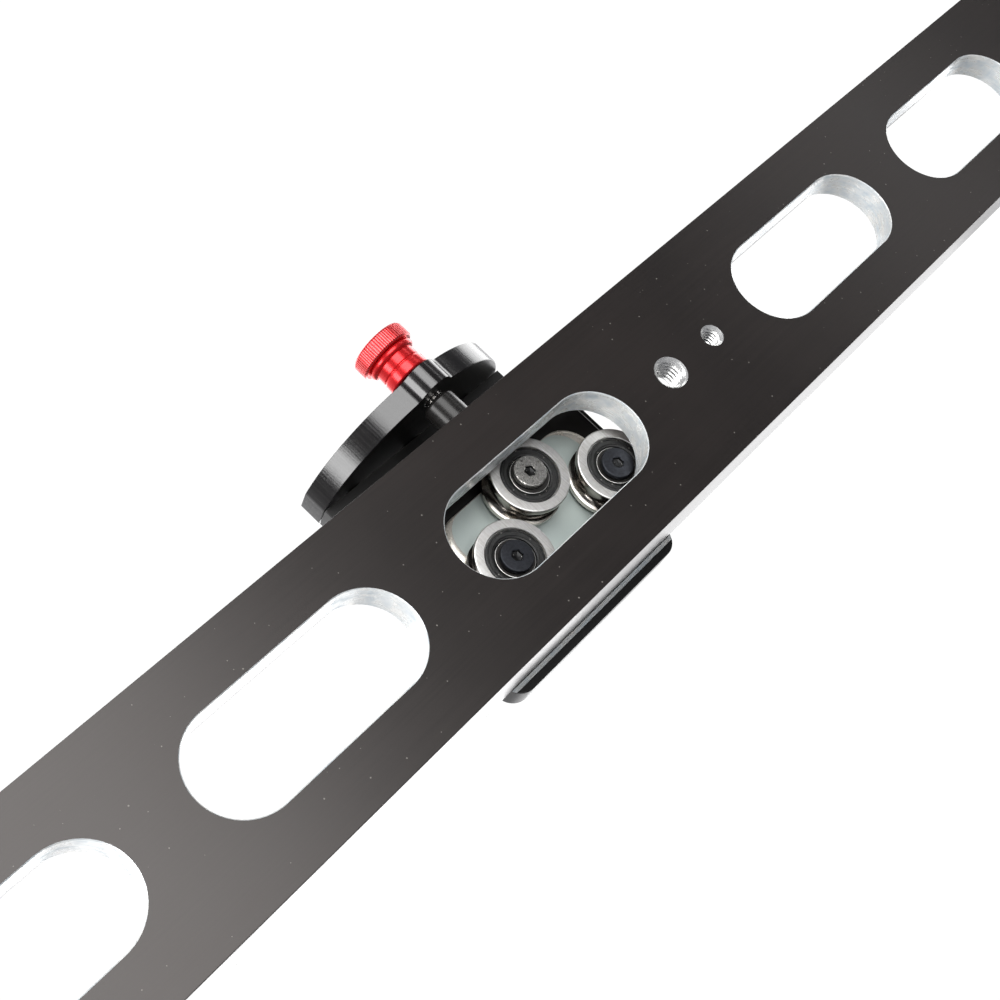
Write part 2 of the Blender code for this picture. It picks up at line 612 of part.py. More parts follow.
def apron_outline():
    """The apron: a disc cut off by the plate's ends and top, with a nub for the brake."""
    centre_z = PLATE_TOP + APRON_CENTRE_ABOVE_TOP
    half_x = PLATE_LENGTH / 2
    nub_z = centre_z - APRON_RADIUS - NUB_BELOW_ARC + NUB_RADIUS
    reach_arc = APRON_RADIUS + NUB_FILLET
    reach_nub = NUB_RADIUS + NUB_FILLET
    spread = centre_z - nub_z
    drop = (spread ** 2 + reach_arc ** 2 - reach_nub ** 2) / (2 * spread)
    fillet_z = centre_z - drop
    fillet_x = math.sqrt(reach_arc ** 2 - drop ** 2)
    end_angle = -math.acos(half_x / APRON_RADIUS)
    meet_arc = math.atan2(fillet_z - centre_z, fillet_x)
    meet_nub = math.atan2(fillet_z - nub_z, fillet_x)
    right = arc((0, centre_z), APRON_RADIUS, end_angle, meet_arc, 12)
    right += arc((fillet_x, fillet_z), NUB_FILLET, meet_arc + math.pi, meet_nub + math.pi, 4)[1:]
    right += arc((0, nub_z), NUB_RADIUS, meet_nub, -math.pi / 2, 5)[1:]
    left = [(-x, z) for x, z in reversed(right[:-1])]
    return [(half_x, PLATE_TOP)] + right + left + [(-half_x, PLATE_TOP)]


def build_apron():
    """The side apron and the screws that hold it to the edge of the carriage plate."""
    middle_y = (APRON_INNER_Y + APRON_OUTER_Y) / 2
    mesh = slab_mesh("brake_apron", apron_outline(), APRON_THICKNESS)
    apron = add_part("brake_apron", mesh, BLACK_ANODISED, (CARRIAGE_REST_X, middle_y, 0), AGAINST_Y)
    drill(apron, SPINDLE_RADIUS + TOUCH_GAP, 2 * APRON_THICKNESS,
          (CARRIAGE_REST_X, middle_y + APRON_THICKNESS, BRAKE_HEIGHT), AGAINST_Y)
    height = PLATE_BOTTOM + PLATE_THICKNESS / 2
    for step in range(APRON_SCREW_COUNT):
        x = CARRIAGE_REST_X + (step - (APRON_SCREW_COUNT - 1) / 2) * APRON_SCREW_SPACING
        drill(apron, SCREW_RADIUS + TOUCH_GAP, 2 * APRON_THICKNESS,
              (x, middle_y + APRON_THICKNESS, height), AGAINST_Y, SMALL_BORE_FACETS)
        socket_screw("apron_screw_" + str(step + 1), SCREW_HEAD_RADIUS, SCREW_HEAD_HEIGHT,
                     SCREW_RADIUS, APRON_THICKNESS + SCREW_GRIP, SCREW_HEX,
                     (x, APRON_OUTER_Y - TOUCH_GAP, height), AGAINST_Y)


def knob_profile():
    """The brake knob from its outer face down: cap, ring, neck and base."""
    base_top = KNOB_BASE_LENGTH
    neck_top = base_top + KNOB_NECK_LENGTH
    ring_top = neck_top + KNOB_RING_LENGTH
    top = ring_top + KNOB_CAP_LENGTH
    edge = KNOB_CHAMFER
    return [(0, top), (KNOB_CAP_RADIUS - edge, top), (KNOB_CAP_RADIUS, top - edge),
            (KNOB_CAP_RADIUS, ring_top + edge / 2), (KNOB_CAP_RADIUS - edge / 2, ring_top),
            (KNOB_RING_RADIUS, ring_top), (KNOB_RING_RADIUS, neck_top + edge),
            (KNOB_NECK_RADIUS, neck_top), (KNOB_NECK_RADIUS, base_top), (KNOB_BASE_RADIUS, base_top),
            (KNOB_BASE_RADIUS, edge / 2), (KNOB_BASE_RADIUS - edge / 2, 0), (0, 0)]


def build_brake():
    """The brake: knob and spindle turn in the apron and push the plunger at the rail."""
    knob_base_y = APRON_OUTER_Y - BRAKE_TRAVEL - TOUCH_GAP
    knob = turned("brake_knob", knob_profile(), RED_ANODISED, KNOB_FACETS,
                  (CARRIAGE_REST_X, knob_base_y, BRAKE_HEIGHT), AGAINST_Y)
    drill(knob, SPINDLE_RADIUS + TOUCH_GAP, SPINDLE_IN_KNOB + TOUCH_GAP + CUT_MARGIN,
          (CARRIAGE_REST_X, knob_base_y + CUT_MARGIN, BRAKE_HEIGHT), AGAINST_Y)
    pad_face_y = -(RAIL_WIDTH / 2 + BRAKE_TRAVEL + TOUCH_GAP)
    plunger_face_y = pad_face_y - PAD_THICKNESS - TOUCH_GAP
    plunger_back_y = APRON_INNER_Y + PLUNGER_APRON_GAP
    length = plunger_face_y - plunger_back_y
    rim = arc((PLUNGER_RADIUS - PLUNGER_FILLET, length - PLUNGER_FILLET), PLUNGER_FILLET,
              math.pi / 2, 0, 4)
    plunger = turned("brake_plunger", [(0, length)] + rim + [(PLUNGER_RADIUS, 0), (0, 0)],
                     BLACK_ANODISED, PLUNGER_FACETS,
                     (CARRIAGE_REST_X, plunger_face_y, BRAKE_HEIGHT), AGAINST_Y)
    drill(plunger, SPINDLE_RADIUS + TOUCH_GAP, 2 * SPINDLE_IN_PLUNGER,
          (CARRIAGE_REST_X, plunger_back_y + SPINDLE_IN_PLUNGER, BRAKE_HEIGHT), AGAINST_Y)
    ring("brake_pad", PAD_RADIUS, PAD_BORE_RADIUS, 0, PAD_THICKNESS, PAD_NYLON, RING_FACETS,
         (CARRIAGE_REST_X, pad_face_y, BRAKE_HEIGHT), AGAINST_Y)
    spindle_start_y = plunger_back_y + SPINDLE_IN_PLUNGER - TOUCH_GAP
    spindle_length = spindle_start_y - knob_base_y + SPINDLE_IN_KNOB
    turned("brake_spindle", [(0, spindle_length), (SPINDLE_RADIUS, spindle_length),
                             (SPINDLE_RADIUS, SPINDLE_TIP), (SPINDLE_RADIUS - SPINDLE_TIP, 0), (0, 0)],
           BEARING_STEEL, BORE_FACETS, (CARRIAGE_REST_X, spindle_start_y, BRAKE_HEIGHT), AGAINST_Y)


build_rail()
build_rods()
build_ends()
build_rollers()
build_roller_plate()
build_block()
build_carriage_plate()
build_apron()
build_brake()
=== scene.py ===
"""Finished look of a camera slider: slotted rail, carriage on grooved rollers and a screw brake.

Metres, +Z up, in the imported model's own frame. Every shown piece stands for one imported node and
rides on that node's body.
"""

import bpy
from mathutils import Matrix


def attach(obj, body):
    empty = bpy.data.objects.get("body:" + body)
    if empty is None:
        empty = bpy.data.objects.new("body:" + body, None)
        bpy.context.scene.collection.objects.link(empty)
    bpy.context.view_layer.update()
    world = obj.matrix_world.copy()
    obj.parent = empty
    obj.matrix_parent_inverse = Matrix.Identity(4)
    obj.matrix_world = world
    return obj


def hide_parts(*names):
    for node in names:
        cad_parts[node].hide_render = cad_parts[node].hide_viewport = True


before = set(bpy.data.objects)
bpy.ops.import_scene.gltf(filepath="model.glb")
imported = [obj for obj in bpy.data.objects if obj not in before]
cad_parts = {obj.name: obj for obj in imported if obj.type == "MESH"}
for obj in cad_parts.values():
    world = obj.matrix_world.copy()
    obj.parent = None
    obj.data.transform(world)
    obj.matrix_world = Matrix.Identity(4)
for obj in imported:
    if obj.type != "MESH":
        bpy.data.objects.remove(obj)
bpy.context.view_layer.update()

import logging
import math
from dataclasses import dataclass, field
from enum import Enum

import bmesh
import bpy
from mathutils import Matrix, Vector

LOG = logging.getLogger("camera_slider")
MM = 0.001
INCH = 0.0254
QUARTER_TURN = math.pi / 2
RING_MARK_SWEEP = 1.2 * MM      # noise's travel in one radian; short, so the marks run round
DUST_AND_GLINT_ROUGHNESS = 0.7
NOISE_RANGE = (0.32, 0.68)      # where nearly all of a noise's values lie, for colour
NOISE_ROUGH_RANGE = (0.3, 0.7)  # and for roughness
SMOOTHEST = 0.03
CREASE_ANGLE = math.radians(38)  # edges sharper than this stay crisp
THREAD_DEPTH_SHARE = 0.56       # of the pitch, as on a 60 degree thread with flats
TOUCH_GAP = 0.3 * MM            # between pieces that touch
SAME_PLACE = 1e-7
STRAIGHT_TURN = 0.5             # radians; gentler corners aren't eased
EASE_SHARE = 0.45               # the most of an edge that one corner's easing takes
MITRE_LIMIT = 0.5
KNURL_START = 0.125             # centres a crest on the first vertex
KNURL_CREST = 0.5               # a crest's share of the pitch
Point = tuple[float, float]
Outline = list[Point]
Place = tuple[float, float, float]
Socket = bpy.types.NodeSocket


# ---------------------------------------------------------------- named options


class Body(Enum):
    """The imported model's bodies."""

    RAIL = "rail"
    CARRIAGE = "carriage"
    PLUNGER = "brake_plunger"
    KNOB = "brake_knob"
    ROLLER_ECCENTRIC = "roller_eccentric"
    ROLLER_LEFT = "roller_left"
    ROLLER_RIGHT = "roller_right"


class Slot(Enum):
    """The record's material slots."""

    BLACK = "black_anodised"
    BRAKE_BLACK = "black_anodised_brake"
    SATIN = "satin_aluminium"
    BEARING = "bearing_steel"
    BRIGHT = "bright_steel"
    DARK = "dark_steel"
    RUBBER = "black_rubber"
    RED = "red_anodised"
    NYLON = "white_nylon"


class Facing(Enum):
    """The way a piece's own +Z points, as rotation angles."""

    UP = (0.0, 0.0, 0.0)
    DOWN = (math.pi, 0.0, 0.0)
    ALONG_X = (0.0, math.pi / 2, 0.0)
    AGAINST_X = (0.0, -math.pi / 2, 0.0)
    AGAINST_Y = (math.pi / 2, 0.0, 0.0)
    SECTION = (math.pi / 2, 0.0, math.pi / 2)


class Section(Enum):
    """The shape of a turned piece across its axis."""

    ROUND = "round"
    HEXAGON = "hexagon"
    KNURL = "knurl"


class Lay(Enum):
    """The way a surface's fine marks run, in the piece's own axes."""

    ALONG_X = (0.02, 1.0, 1.0)
    ALONG_Y = (1.0, 0.02, 1.0)
    ALONG_Z = (1.0, 1.0, 0.012)
    LEVEL = (0.03, 1.0, 0.03)
    EVERY_WAY = (1.0, 1.0, 1.0)
    ROUND = "round the axis"


# ---------------------------------------------------------------- nodes and finishes


def linear(colour: str) -> tuple[float, float, float, float]:
    """Turn an sRGB hex colour to linear.

    Args:
        colour: Six hex digits with a leading #.

    Returns:
        Linear red, green, blue and a full alpha.
    """
    parts = [int(colour[i:i + 2], 16) / 255 for i in (1, 3, 5)]
    red, green, blue = (c / 12.92 if c <= 0.04045 else ((c + 0.055) / 1.055) ** 2.4 for c in parts)
    return red, green, blue, 1.0


def add(tree: bpy.types.NodeTree, kind: str, settings: dict | None = None,
        links: dict | None = None) -> bpy.types.Node:
    """Add a node with its settings and links.

    Args:
        tree: The node tree to add to.
        kind: The node's type, without the leading ShaderNode.
        settings: Values by input name or number, or by the node's own property name.
        links: Sockets to link by input name or number.

    Returns:
        The new node.
    """
    made = tree.nodes.new("ShaderNode" + kind)
    for key, value in (settings or {}).items():
        if isinstance(key, str) and key[0].islower():
            setattr(made, key, value)
    for key, value in (settings or {}).items():
        if isinstance(key, int) or key[0].isupper():
            made.inputs[key].default_value = value
    for key, socket in (links or {}).items():
        tree.links.new(socket, made.inputs[key])
    return made


@dataclass(frozen=True)
class Finish:
    """A material and the marks on its surface.

    The marks are long noise along the lay, and the blotches are slow changes from handling. Dust,
    or on the sockets painted glints, is specks of a second, rougher colour.
    """

    name: str
    colour: str
    shade: str
    metallic: float
    roughness: float
    lay: Lay = Lay.EVERY_WAY
    mark_mm: float = 0.4
    mark_depth_mm: float = 0.004
    mark_tone: float = 0.5
    roughness_spread: float = 0.08
    blotch_mm: float = 30.0
    dust_and_glints: float = 0.0
    dust_and_glints_mm: float = 0.5
    dust_and_glints_colour: str = "#b9b4ac"
    dust_and_glints_reach: float = 0.16
    dust_and_glints_strength: float = 0.4
    coat: float = 0.0
    coat_roughness: float = 0.1
    ior: float = 1.5
    extras: dict = field(default_factory=dict)

    def marks(self, tree: bpy.types.NodeTree, place: Socket) -> Socket:
        """Noise drawn out along the lay.

        Args:
            tree: The material's node tree.
            place: The surface point in the piece's own axes.

        Returns:
            The noise, from 0 to 1.
        """
        scale = 1 / (self.mark_mm * MM)
        if self.lay is Lay.ROUND:
            parts = add(tree, "SeparateXYZ", links={0: place})
            flat = add(tree, "CombineXYZ", links={0: parts.outputs[0], 1: parts.outputs[1]})
            reach = add(tree, "VectorMath", {"operation": "LENGTH"}, {0: flat.outputs[0]})
            turn = add(tree, "Math", {"operation": "ARCTAN2"},
                       {0: parts.outputs[1], 1: parts.outputs[0]})
            sweep = add(tree, "Math", {"operation": "MULTIPLY", 1: RING_MARK_SWEEP},
                        {0: turn.outputs[0]})
            vector = add(tree, "CombineXYZ", links={0: reach.outputs["Value"], 1: sweep.outputs[0],
                                                    2: parts.outputs[2]})
            place, stretch = vector.outputs[0], Lay.EVERY_WAY.value
        else:
            stretch = self.lay.value
        scaled = add(tree, "VectorMath", {"operation": "MULTIPLY", 1: [scale * s for s in stretch]},
                     {0: place})
        noise = add(tree, "TexNoise", {"Scale": 1.0, "Detail": 4.0, "Roughness": 0.6},
                    {"Vector": scaled.outputs[0]})
        return noise.outputs["Fac"]

    def build(self) -> bpy.types.Material:
        """Make the material.

        Returns:
            The material, ready for a slot.
        """
        material = bpy.data.materials.new(self.name)
        material.use_nodes = True
        tree = material.node_tree
        shader = tree.nodes["Principled BSDF"]
        shader.inputs["Metallic"].default_value = self.metallic
        shader.inputs["Coat Weight"].default_value = self.coat
        shader.inputs["Coat Roughness"].default_value = self.coat_roughness
        if self.metallic < 1.0:
            shader.inputs["IOR"].default_value = self.ior
        for key, value in self.extras.items():
            shader.inputs[key].default_value = value
        place = add(tree, "TexCoord").outputs["Object"]
        marks = self.marks(tree, place)
        blotch = add(tree, "TexNoise", {"Scale": 1 / (self.blotch_mm * MM), "Detail": 3.0},
                     {"Vector": place}).outputs["Fac"]
        both = add(tree, "Mix", {"data_type": "FLOAT", 0: 1 - self.mark_tone}, {2: marks, 3: blotch})
        spread = add(tree, "MapRange", {"From Min": NOISE_RANGE[0], "From Max": NOISE_RANGE[1]},
                     {0: both.outputs[0]})
        tone = add(tree, "Mix", {"data_type": "RGBA", 6: linear(self.colour), 7: linear(self.shade)},
                   {0: spread.outputs[0]}).outputs[2]
        low, high = NOISE_ROUGH_RANGE
        smooth = max(SMOOTHEST, self.roughness - self.roughness_spread)
        rough = add(tree, "MapRange", {"From Min": low, "From Max": high, "To Min": smooth,
                                       "To Max": self.roughness + self.roughness_spread},
                    {0: both.outputs[0]}).outputs[0]
        if self.dust_and_glints:
            tone, rough = self.add_dust_and_glints(tree, place, tone, rough)
        bump = add(tree, "Bump", {"Strength": 1.0, "Distance": self.mark_depth_mm * MM},
                   {"Height": marks})
        tree.links.new(tone, shader.inputs["Base Color"])
        tree.links.new(rough, shader.inputs["Roughness"])
        tree.links.new(bump.outputs[0], shader.inputs["Normal"])
        return material

    def add_dust_and_glints(self, tree: bpy.types.NodeTree, place: Socket, tone: Socket,
               rough: Socket) -> tuple[Socket, Socket]:
        """Scatter specks over a tone and a roughness: dust, or on the sockets painted glints.

        Args:
            tree: The material's node tree.
            place: The surface point in the piece's own axes.
            tone: The clean colour.
            rough: The clean roughness.

        Returns:
            The dusted colour and roughness.
        """
        cells = add(tree, "TexVoronoi", {"Scale": 1 / (self.dust_and_glints_mm * MM), "Randomness": 1.0},
                    {"Vector": place})
        sizes = add(tree, "SeparateColor", links={0: cells.outputs["Color"]})
        limit = add(tree, "MapRange", {"From Min": 1 - self.dust_and_glints, "To Max": self.dust_and_glints_reach},
                    {0: sizes.outputs[0]})
        speck = add(tree, "Math", {"operation": "LESS_THAN"},
                    {0: cells.outputs["Distance"], 1: limit.outputs[0]})
        weight = add(tree, "Math", {"operation": "MULTIPLY", 1: self.dust_and_glints_strength},
                     {0: speck.outputs[0]})
        specked_tone = add(tree, "Mix", {"data_type": "RGBA", 7: linear(self.dust_and_glints_colour)},
                    {0: weight.outputs[0], 6: tone})
        matt = add(tree, "Mix", {"data_type": "FLOAT", 3: DUST_AND_GLINT_ROUGHNESS},
                   {0: weight.outputs[0], 2: rough})
        return specked_tone.outputs[2], matt.outputs[0]


class Finishes:
    """Every finish on the slider, each made once.

    Brushed, turned, tapped and blasted marks are 0.02 to 0.1 mm apart on the real metal. They are
    drawn 0.25 to 0.8 mm apart here, because finer ones don't show.
    """

    # Extruded aluminium, black anodised: draw lines along the length, a warm grey sheen, fine dust
    RAIL_BLACK = Finish(
        "anodised_aluminium_extruded_black", "#161312", "#231e1c", metallic=0.0, roughness=0.3,
        lay=Lay.ALONG_Z, mark_mm=0.7, mark_depth_mm=0.0012, roughness_spread=0.03, blotch_mm=45.0,
        dust_and_glints=0.1, dust_and_glints_mm=1.3, dust_and_glints_reach=0.17, ior=1.56,
        extras={"Specular Tint": (1.0, 0.95, 0.925, 1.0)})
    # Bare aluminium where a cutter went through the anodising: near white, with smeared tool marks
    CUT_ALUMINIUM = Finish(
        "aluminium_milled_bare", "#fffdf8", "#c6d1d8", metallic=0.3, roughness=0.3, lay=Lay.LEVEL,
        mark_mm=0.7, mark_tone=0.4, roughness_spread=0.12, blotch_mm=3.2)
    # The same bare aluminium, tapped: bright thread flanks
    TAPPED_ALUMINIUM = Finish(
        "aluminium_tapped_bare", "#fdfdfc", "#dededd", metallic=0.7, roughness=0.24, lay=Lay.ROUND,
        mark_mm=0.3, mark_depth_mm=0.003, roughness_spread=0.06, blotch_mm=3.0)
    # Milled aluminium, black anodised: darker and cooler than the rail, faint cutter lines
    CARRIAGE_BLACK = Finish(
        "anodised_aluminium_milled_black", "#100f0e", "#181716", metallic=0.0, roughness=0.38,
        lay=Lay.ALONG_X, mark_mm=0.6, mark_depth_mm=0.003, roughness_spread=0.06, blotch_mm=25.0)
    # The apron's milled edge, black anodised and glossy: lines across the edge split its reflections
    APRON_BLACK = Finish(
        "anodised_aluminium_edge_milled_black", "#121111", "#1d1b1a", metallic=0.0, roughness=0.19,
        lay=Lay.ALONG_Z, mark_mm=0.35, mark_depth_mm=0.02, mark_tone=0.8, roughness_spread=0.1,
        blotch_mm=14.0, ior=1.76)
    # Turned aluminium, black anodised: rings that spread the light along the piece
    TURNED_BLACK = Finish(
        "anodised_aluminium_turned_black", "#1b1a19", "#2b2928", metallic=0.2, roughness=0.28,
        lay=Lay.ROUND, mark_mm=0.35, mark_depth_mm=0.006, mark_tone=0.7, roughness_spread=0.06,
        blotch_mm=6.0)
    # Turned aluminium, red anodised: a clear dye over bright metal
    RED = Finish(
        "anodised_aluminium_turned_red", "#ee2c30", "#d81e24", metallic=0.6, roughness=0.27,
        lay=Lay.ROUND, mark_mm=0.3, mark_depth_mm=0.003, mark_tone=0.6, roughness_spread=0.05,
        blotch_mm=6.0, coat=0.25, coat_roughness=0.15)
    # The same red, painted paler on the knurl's crests: a painted highlight along each crest
    RED_CREST_HIGHLIGHT = Finish(
        "anodised_aluminium_knurled_red_painted_highlight", "#f58f8f", "#ea6c6e", metallic=0.6, roughness=0.3,
        lay=Lay.ALONG_Z, mark_depth_mm=0.002, roughness_spread=0.05, blotch_mm=4.0)
    # Sheet aluminium, bead blasted and clear anodised: pale, a little green, without highlights
    SATIN = Finish(
        "anodised_aluminium_blasted_clear", "#cfdad6", "#c2cdc9", metallic=0.7, roughness=0.46,
        mark_mm=0.25, mark_tone=0.4, roughness_spread=0.05, blotch_mm=14.0, dust_and_glints=0.05, dust_and_glints_mm=1.1,
        dust_and_glints_colour="#8c908d")
    # The same sheet's rounded rim, painted paler as a highlight: warm streaks between bright lines
    RIM_HIGHLIGHT_ALUMINIUM = Finish(
        "anodised_aluminium_rim_painted_highlight", "#fffbf2", "#cfc8bb", metallic=0.45, roughness=0.26,
        lay=Lay.ALONG_Z, mark_mm=0.8, blotch_mm=2.5)
    # A painted highlight on the block's stepped edge: matt and nearly white
    EDGE_HIGHLIGHT = Finish(
        "aluminium_edge_painted_highlight", "#ffffff", "#e8e8e8", metallic=0.2, roughness=0.5,
        mark_mm=0.5, mark_depth_mm=0.002, blotch_mm=2.0)
    # Bearing steel, face ground: pale, with fine straight scratches and cloudy patches
    GROUND_STEEL = Finish(
        "bearing_steel_ground", "#f1f0ee", "#bcb9b4", metallic=1.0, roughness=0.4, lay=Lay.ALONG_Y,
        mark_tone=0.55, roughness_spread=0.1, blotch_mm=2.2)
    # The inner rings, darker than the ground steel on their front outer edge
    DARK_RING_STEEL = Finish(
        "bearing_steel_ground_dark", "#4c4a48", "#2c2b2a", metallic=0.9, roughness=0.36,
        lay=Lay.ROUND, mark_mm=0.3, mark_tone=0.6, roughness_spread=0.1, blotch_mm=3.0)
    # Bearing steel, polished by the rods: sharper reflections, a slight warm tint
    POLISHED_STEEL = Finish(
        "bearing_steel_polished", "#bfb9b2", "#a29c95", metallic=1.0, roughness=0.18, lay=Lay.ROUND,
        mark_mm=0.3, mark_depth_mm=0.003, mark_tone=0.6, roughness_spread=0.04, blotch_mm=5.0)
    # Drawn and hardened steel rod, centreless ground
    ROD_STEEL = Finish(
        "hardened_steel_centreless_ground", "#bdbbb8", "#a3a09c", metallic=1.0, roughness=0.16,
        lay=Lay.ROUND, mark_mm=0.5, mark_depth_mm=0.002, roughness_spread=0.05)
    # Alloy steel, black oxide: blue grey satin with pale scuffs
    OXIDE_STEEL = Finish(
        "alloy_steel_black_oxide", "#3a3c42", "#1e1f23", metallic=0.7, roughness=0.4, mark_mm=0.6,
        mark_depth_mm=0.01, mark_tone=0.6, roughness_spread=0.1, blotch_mm=3.0)
    # Black oxide rubbed off by a tool: bright and dark patches of scratched grey metal
    WORN_STEEL = Finish(
        "alloy_steel_black_oxide_worn", "#efece6", "#2e2d2b", metallic=0.9, roughness=0.3,
        mark_mm=0.8, mark_depth_mm=0.06, mark_tone=0.75, roughness_spread=0.12, blotch_mm=1.2)
    # Moulded nitrile rubber: nearly black, matt, holds pale dust
    RUBBER = Finish(
        "nitrile_rubber_moulded", "#060606", "#262625", metallic=0.0, roughness=0.46, mark_mm=0.7,
        mark_depth_mm=0.16, mark_tone=0.6, roughness_spread=0.12, blotch_mm=5.0, dust_and_glints=0.4,
        dust_and_glints_mm=0.8, dust_and_glints_colour="#a5a29c", dust_and_glints_reach=0.3, dust_and_glints_strength=0.5)
    # Black oxide in the sockets, painted nearly black as shade, with bright specks that are painted
    # glints
    SOCKET_SHADE_AND_GLINTS = Finish(
        "alloy_steel_black_oxide_socket_painted_shade_and_glints", "#0a0a0b", "#151516", metallic=0.5, roughness=0.3,
        mark_mm=0.5, mark_depth_mm=0.02, roughness_spread=0.1, blotch_mm=2.0, dust_and_glints=0.3, dust_and_glints_mm=0.6,
        dust_and_glints_colour="#f0ede8", dust_and_glints_reach=0.4, dust_and_glints_strength=0.9)
    # Machined nylon: creamy white and a little waxy
    NYLON = Finish(
        "nylon_turned", "#e8e5dc", "#dedacf", metallic=0.0, roughness=0.42, lay=Lay.ROUND,
        mark_depth_mm=0.008, roughness_spread=0.05, blotch_mm=4.0, ior=1.53,
        extras={"Subsurface Weight": 0.1, "Subsurface Radius": (0.001, 0.001, 0.001)})

    made: dict[str, bpy.types.Material] = {}

    @classmethod
    def get(cls, finish: Finish) -> bpy.types.Material:
        """Give the one material of a finish."""
        if finish.name not in cls.made:
            cls.made[finish.name] = finish.build()
        return cls.made[finish.name]


# ---------------------------------------------------------------- shapes


def arc(centre: Point, radius: float, start: float, end: float, steps: int) -> Outline:
    """Points on an arc, with both ends.

    Args:
        centre: The arc's centre.
        radius: Its radius.
        start: The first point's angle in radians.
        end: The last point's angle.
        steps: How many chords the arc has.

    Returns:
        The points.
    """
    angles = [start + (end - start) * i / steps for i in range(steps + 1)]
    return [(centre[0] + radius * math.cos(a), centre[1] + radius * math.sin(a)) for a in angles]


def eased(points: Outline, ease: float, closed: bool = True) -> Outline:
    """Round the corners of an outline a little.

    Args:
        points: The outline's points.
        ease: How far from a corner the rounding starts.
        closed: Whether the last point joins the first.

    Returns:
        The outline with three points for each corner.
    """
    made: Outline = []
    count = len(points)
    for i, point in enumerate(points):
        if not closed and i in (0, count - 1):
            made.append(point)
            continue
        corner = Vector(point)
        before = Vector(points[i - 1]) - corner
        after = Vector(points[(i + 1) % count]) - corner
        if min(before.length, after.length) < SAME_PLACE:
            made.append(point)
            continue
        if abs(before.angle(after) - math.pi) < STRAIGHT_TURN:
            made.append(point)
            continue
        first = corner + before.normalized() * min(ease, before.length * EASE_SHARE)
        last = corner + after.normalized() * min(ease, after.length * EASE_SHARE)
        middle = (first + last) / 4 + corner / 2
        made += [tuple(first), tuple(middle), tuple(last)]
    return made


def grown(outline: Outline, distance: float) -> Outline:
    """Move a counter-clockwise outline outwards.

    Args:
        outline: The outline's points.
        distance: How far; negative moves it inwards.

    Returns:
        The moved outline, point for point.
    """
    made: Outline = []
    for i, point in enumerate(outline):
        here = Vector(point)
        one = (here - Vector(outline[i - 1])).normalized()
        two = (Vector(outline[(i + 1) % len(outline)]) - here).normalized()
        normal = Vector((one.y + two.y, -one.x - two.x))
        mitre = math.sqrt(max(0.0, (1 + one.dot(two)) / 2))
        normal = normal.normalized() / max(MITRE_LIMIT, mitre)
        made.append((here.x + normal.x * distance, here.y + normal.y * distance))
    return made


def squeezed(outline: Outline, across: Point) -> Outline:
    """Draw an outline in towards its centre, by a set distance on each axis.

    Args:
        outline: The outline's points, centred on the origin.
        across: How far its ends and its sides come in.

    Returns:
        The smaller outline, point for point.
    """
    half = [max(abs(point[axis]) for point in outline) for axis in (0, 1)]
    share = [1 - across[axis] / half[axis] for axis in (0, 1)]
    return [(x * share[0], y * share[1]) for x, y in outline]


def rounded_rectangle(low: Point, high: Point, radius: float, steps: int = 16) -> Outline:
    """A counter-clockwise rectangle with round corners.

    Args:
        low: Its lowest corner.
        high: Its highest corner.
        radius: The corners' radius.
        steps: Chords in each corner.

    Returns:
        The outline.
    """
    corners = ((high[0], high[1]), (low[0], high[1]), (low[0], low[1]), (high[0], low[1]))
    made: Outline = []
    for i, (x, y) in enumerate(corners):
        centre = (x - math.copysign(radius, x - (low[0] + high[0]) / 2),
                  y - math.copysign(radius, y - (low[1] + high[1]) / 2))
        made += arc(centre, radius, i * QUARTER_TURN, (i + 1) * QUARTER_TURN, steps)
    return made


def stadium(length: float, width: float, steps: int = 32) -> Outline:
    """A counter-clockwise slot outline.

    Args:
        length: The slot's whole length.
        width: Its width.
        steps: Chords in each round end.

    Returns:
        The outline.
    """
    reach = (length - width) / 2
    made = arc((reach, 0), width / 2, -math.pi / 2, math.pi / 2, steps)
    return made + arc((-reach, 0), width / 2, math.pi / 2, 3 * math.pi / 2, steps)


def loft(name: str, levels: list[tuple[float, Outline]],
         rims: tuple[int, ...] = ()) -> bpy.types.Mesh:
    """Join outlines at different heights into one closed mesh.

    Args:
        name: The mesh's name.
        levels: Height and outline, from the lowest up, all with the same number of points.
        rims: The bands that take the second material.

    Returns:
        The mesh.
    """
    count = len(levels[0][1])
    points = [(x, y, height) for height, outline in levels for x, y in outline]
    faces = [tuple(reversed(range(count)))]
    slots = [0]
    for level in range(len(levels) - 1):
        base = level * count
        for i in range(count):
            j = (i + 1) % count
            faces.append((base + i, base + j, base + count + j, base + count + i))
            slots.append(1 if level in rims else 0)
    faces.append(tuple(range(len(points) - count, len(points))))
    slots.append(0)
    mesh = bpy.data.meshes.new(name)
    mesh.from_pydata(points, [], faces)
    mesh.polygons.foreach_set("material_index", slots)
    return mesh


def slab(name: str, outline: Outline, low: float, high: float, ease: float) -> bpy.types.Mesh:
    """A plate with eased rims.

    Args:
        name: The mesh's name.
        outline: The plate's outline, counter-clockwise.
        low: Its lower face.
        high: Its upper face.
        ease: The rims' radius.

    Returns:
        The mesh.
    """
    turns = [QUARTER_TURN * share for share in (0, 0.5, 1)]
    below = [(low + ease * (1 - math.cos(a)), grown(outline, -ease * (1 - math.sin(a))))
             for a in turns]
    above = [(high - (height - low), shape) for height, shape in reversed(below)]
    return loft(name, below + above)


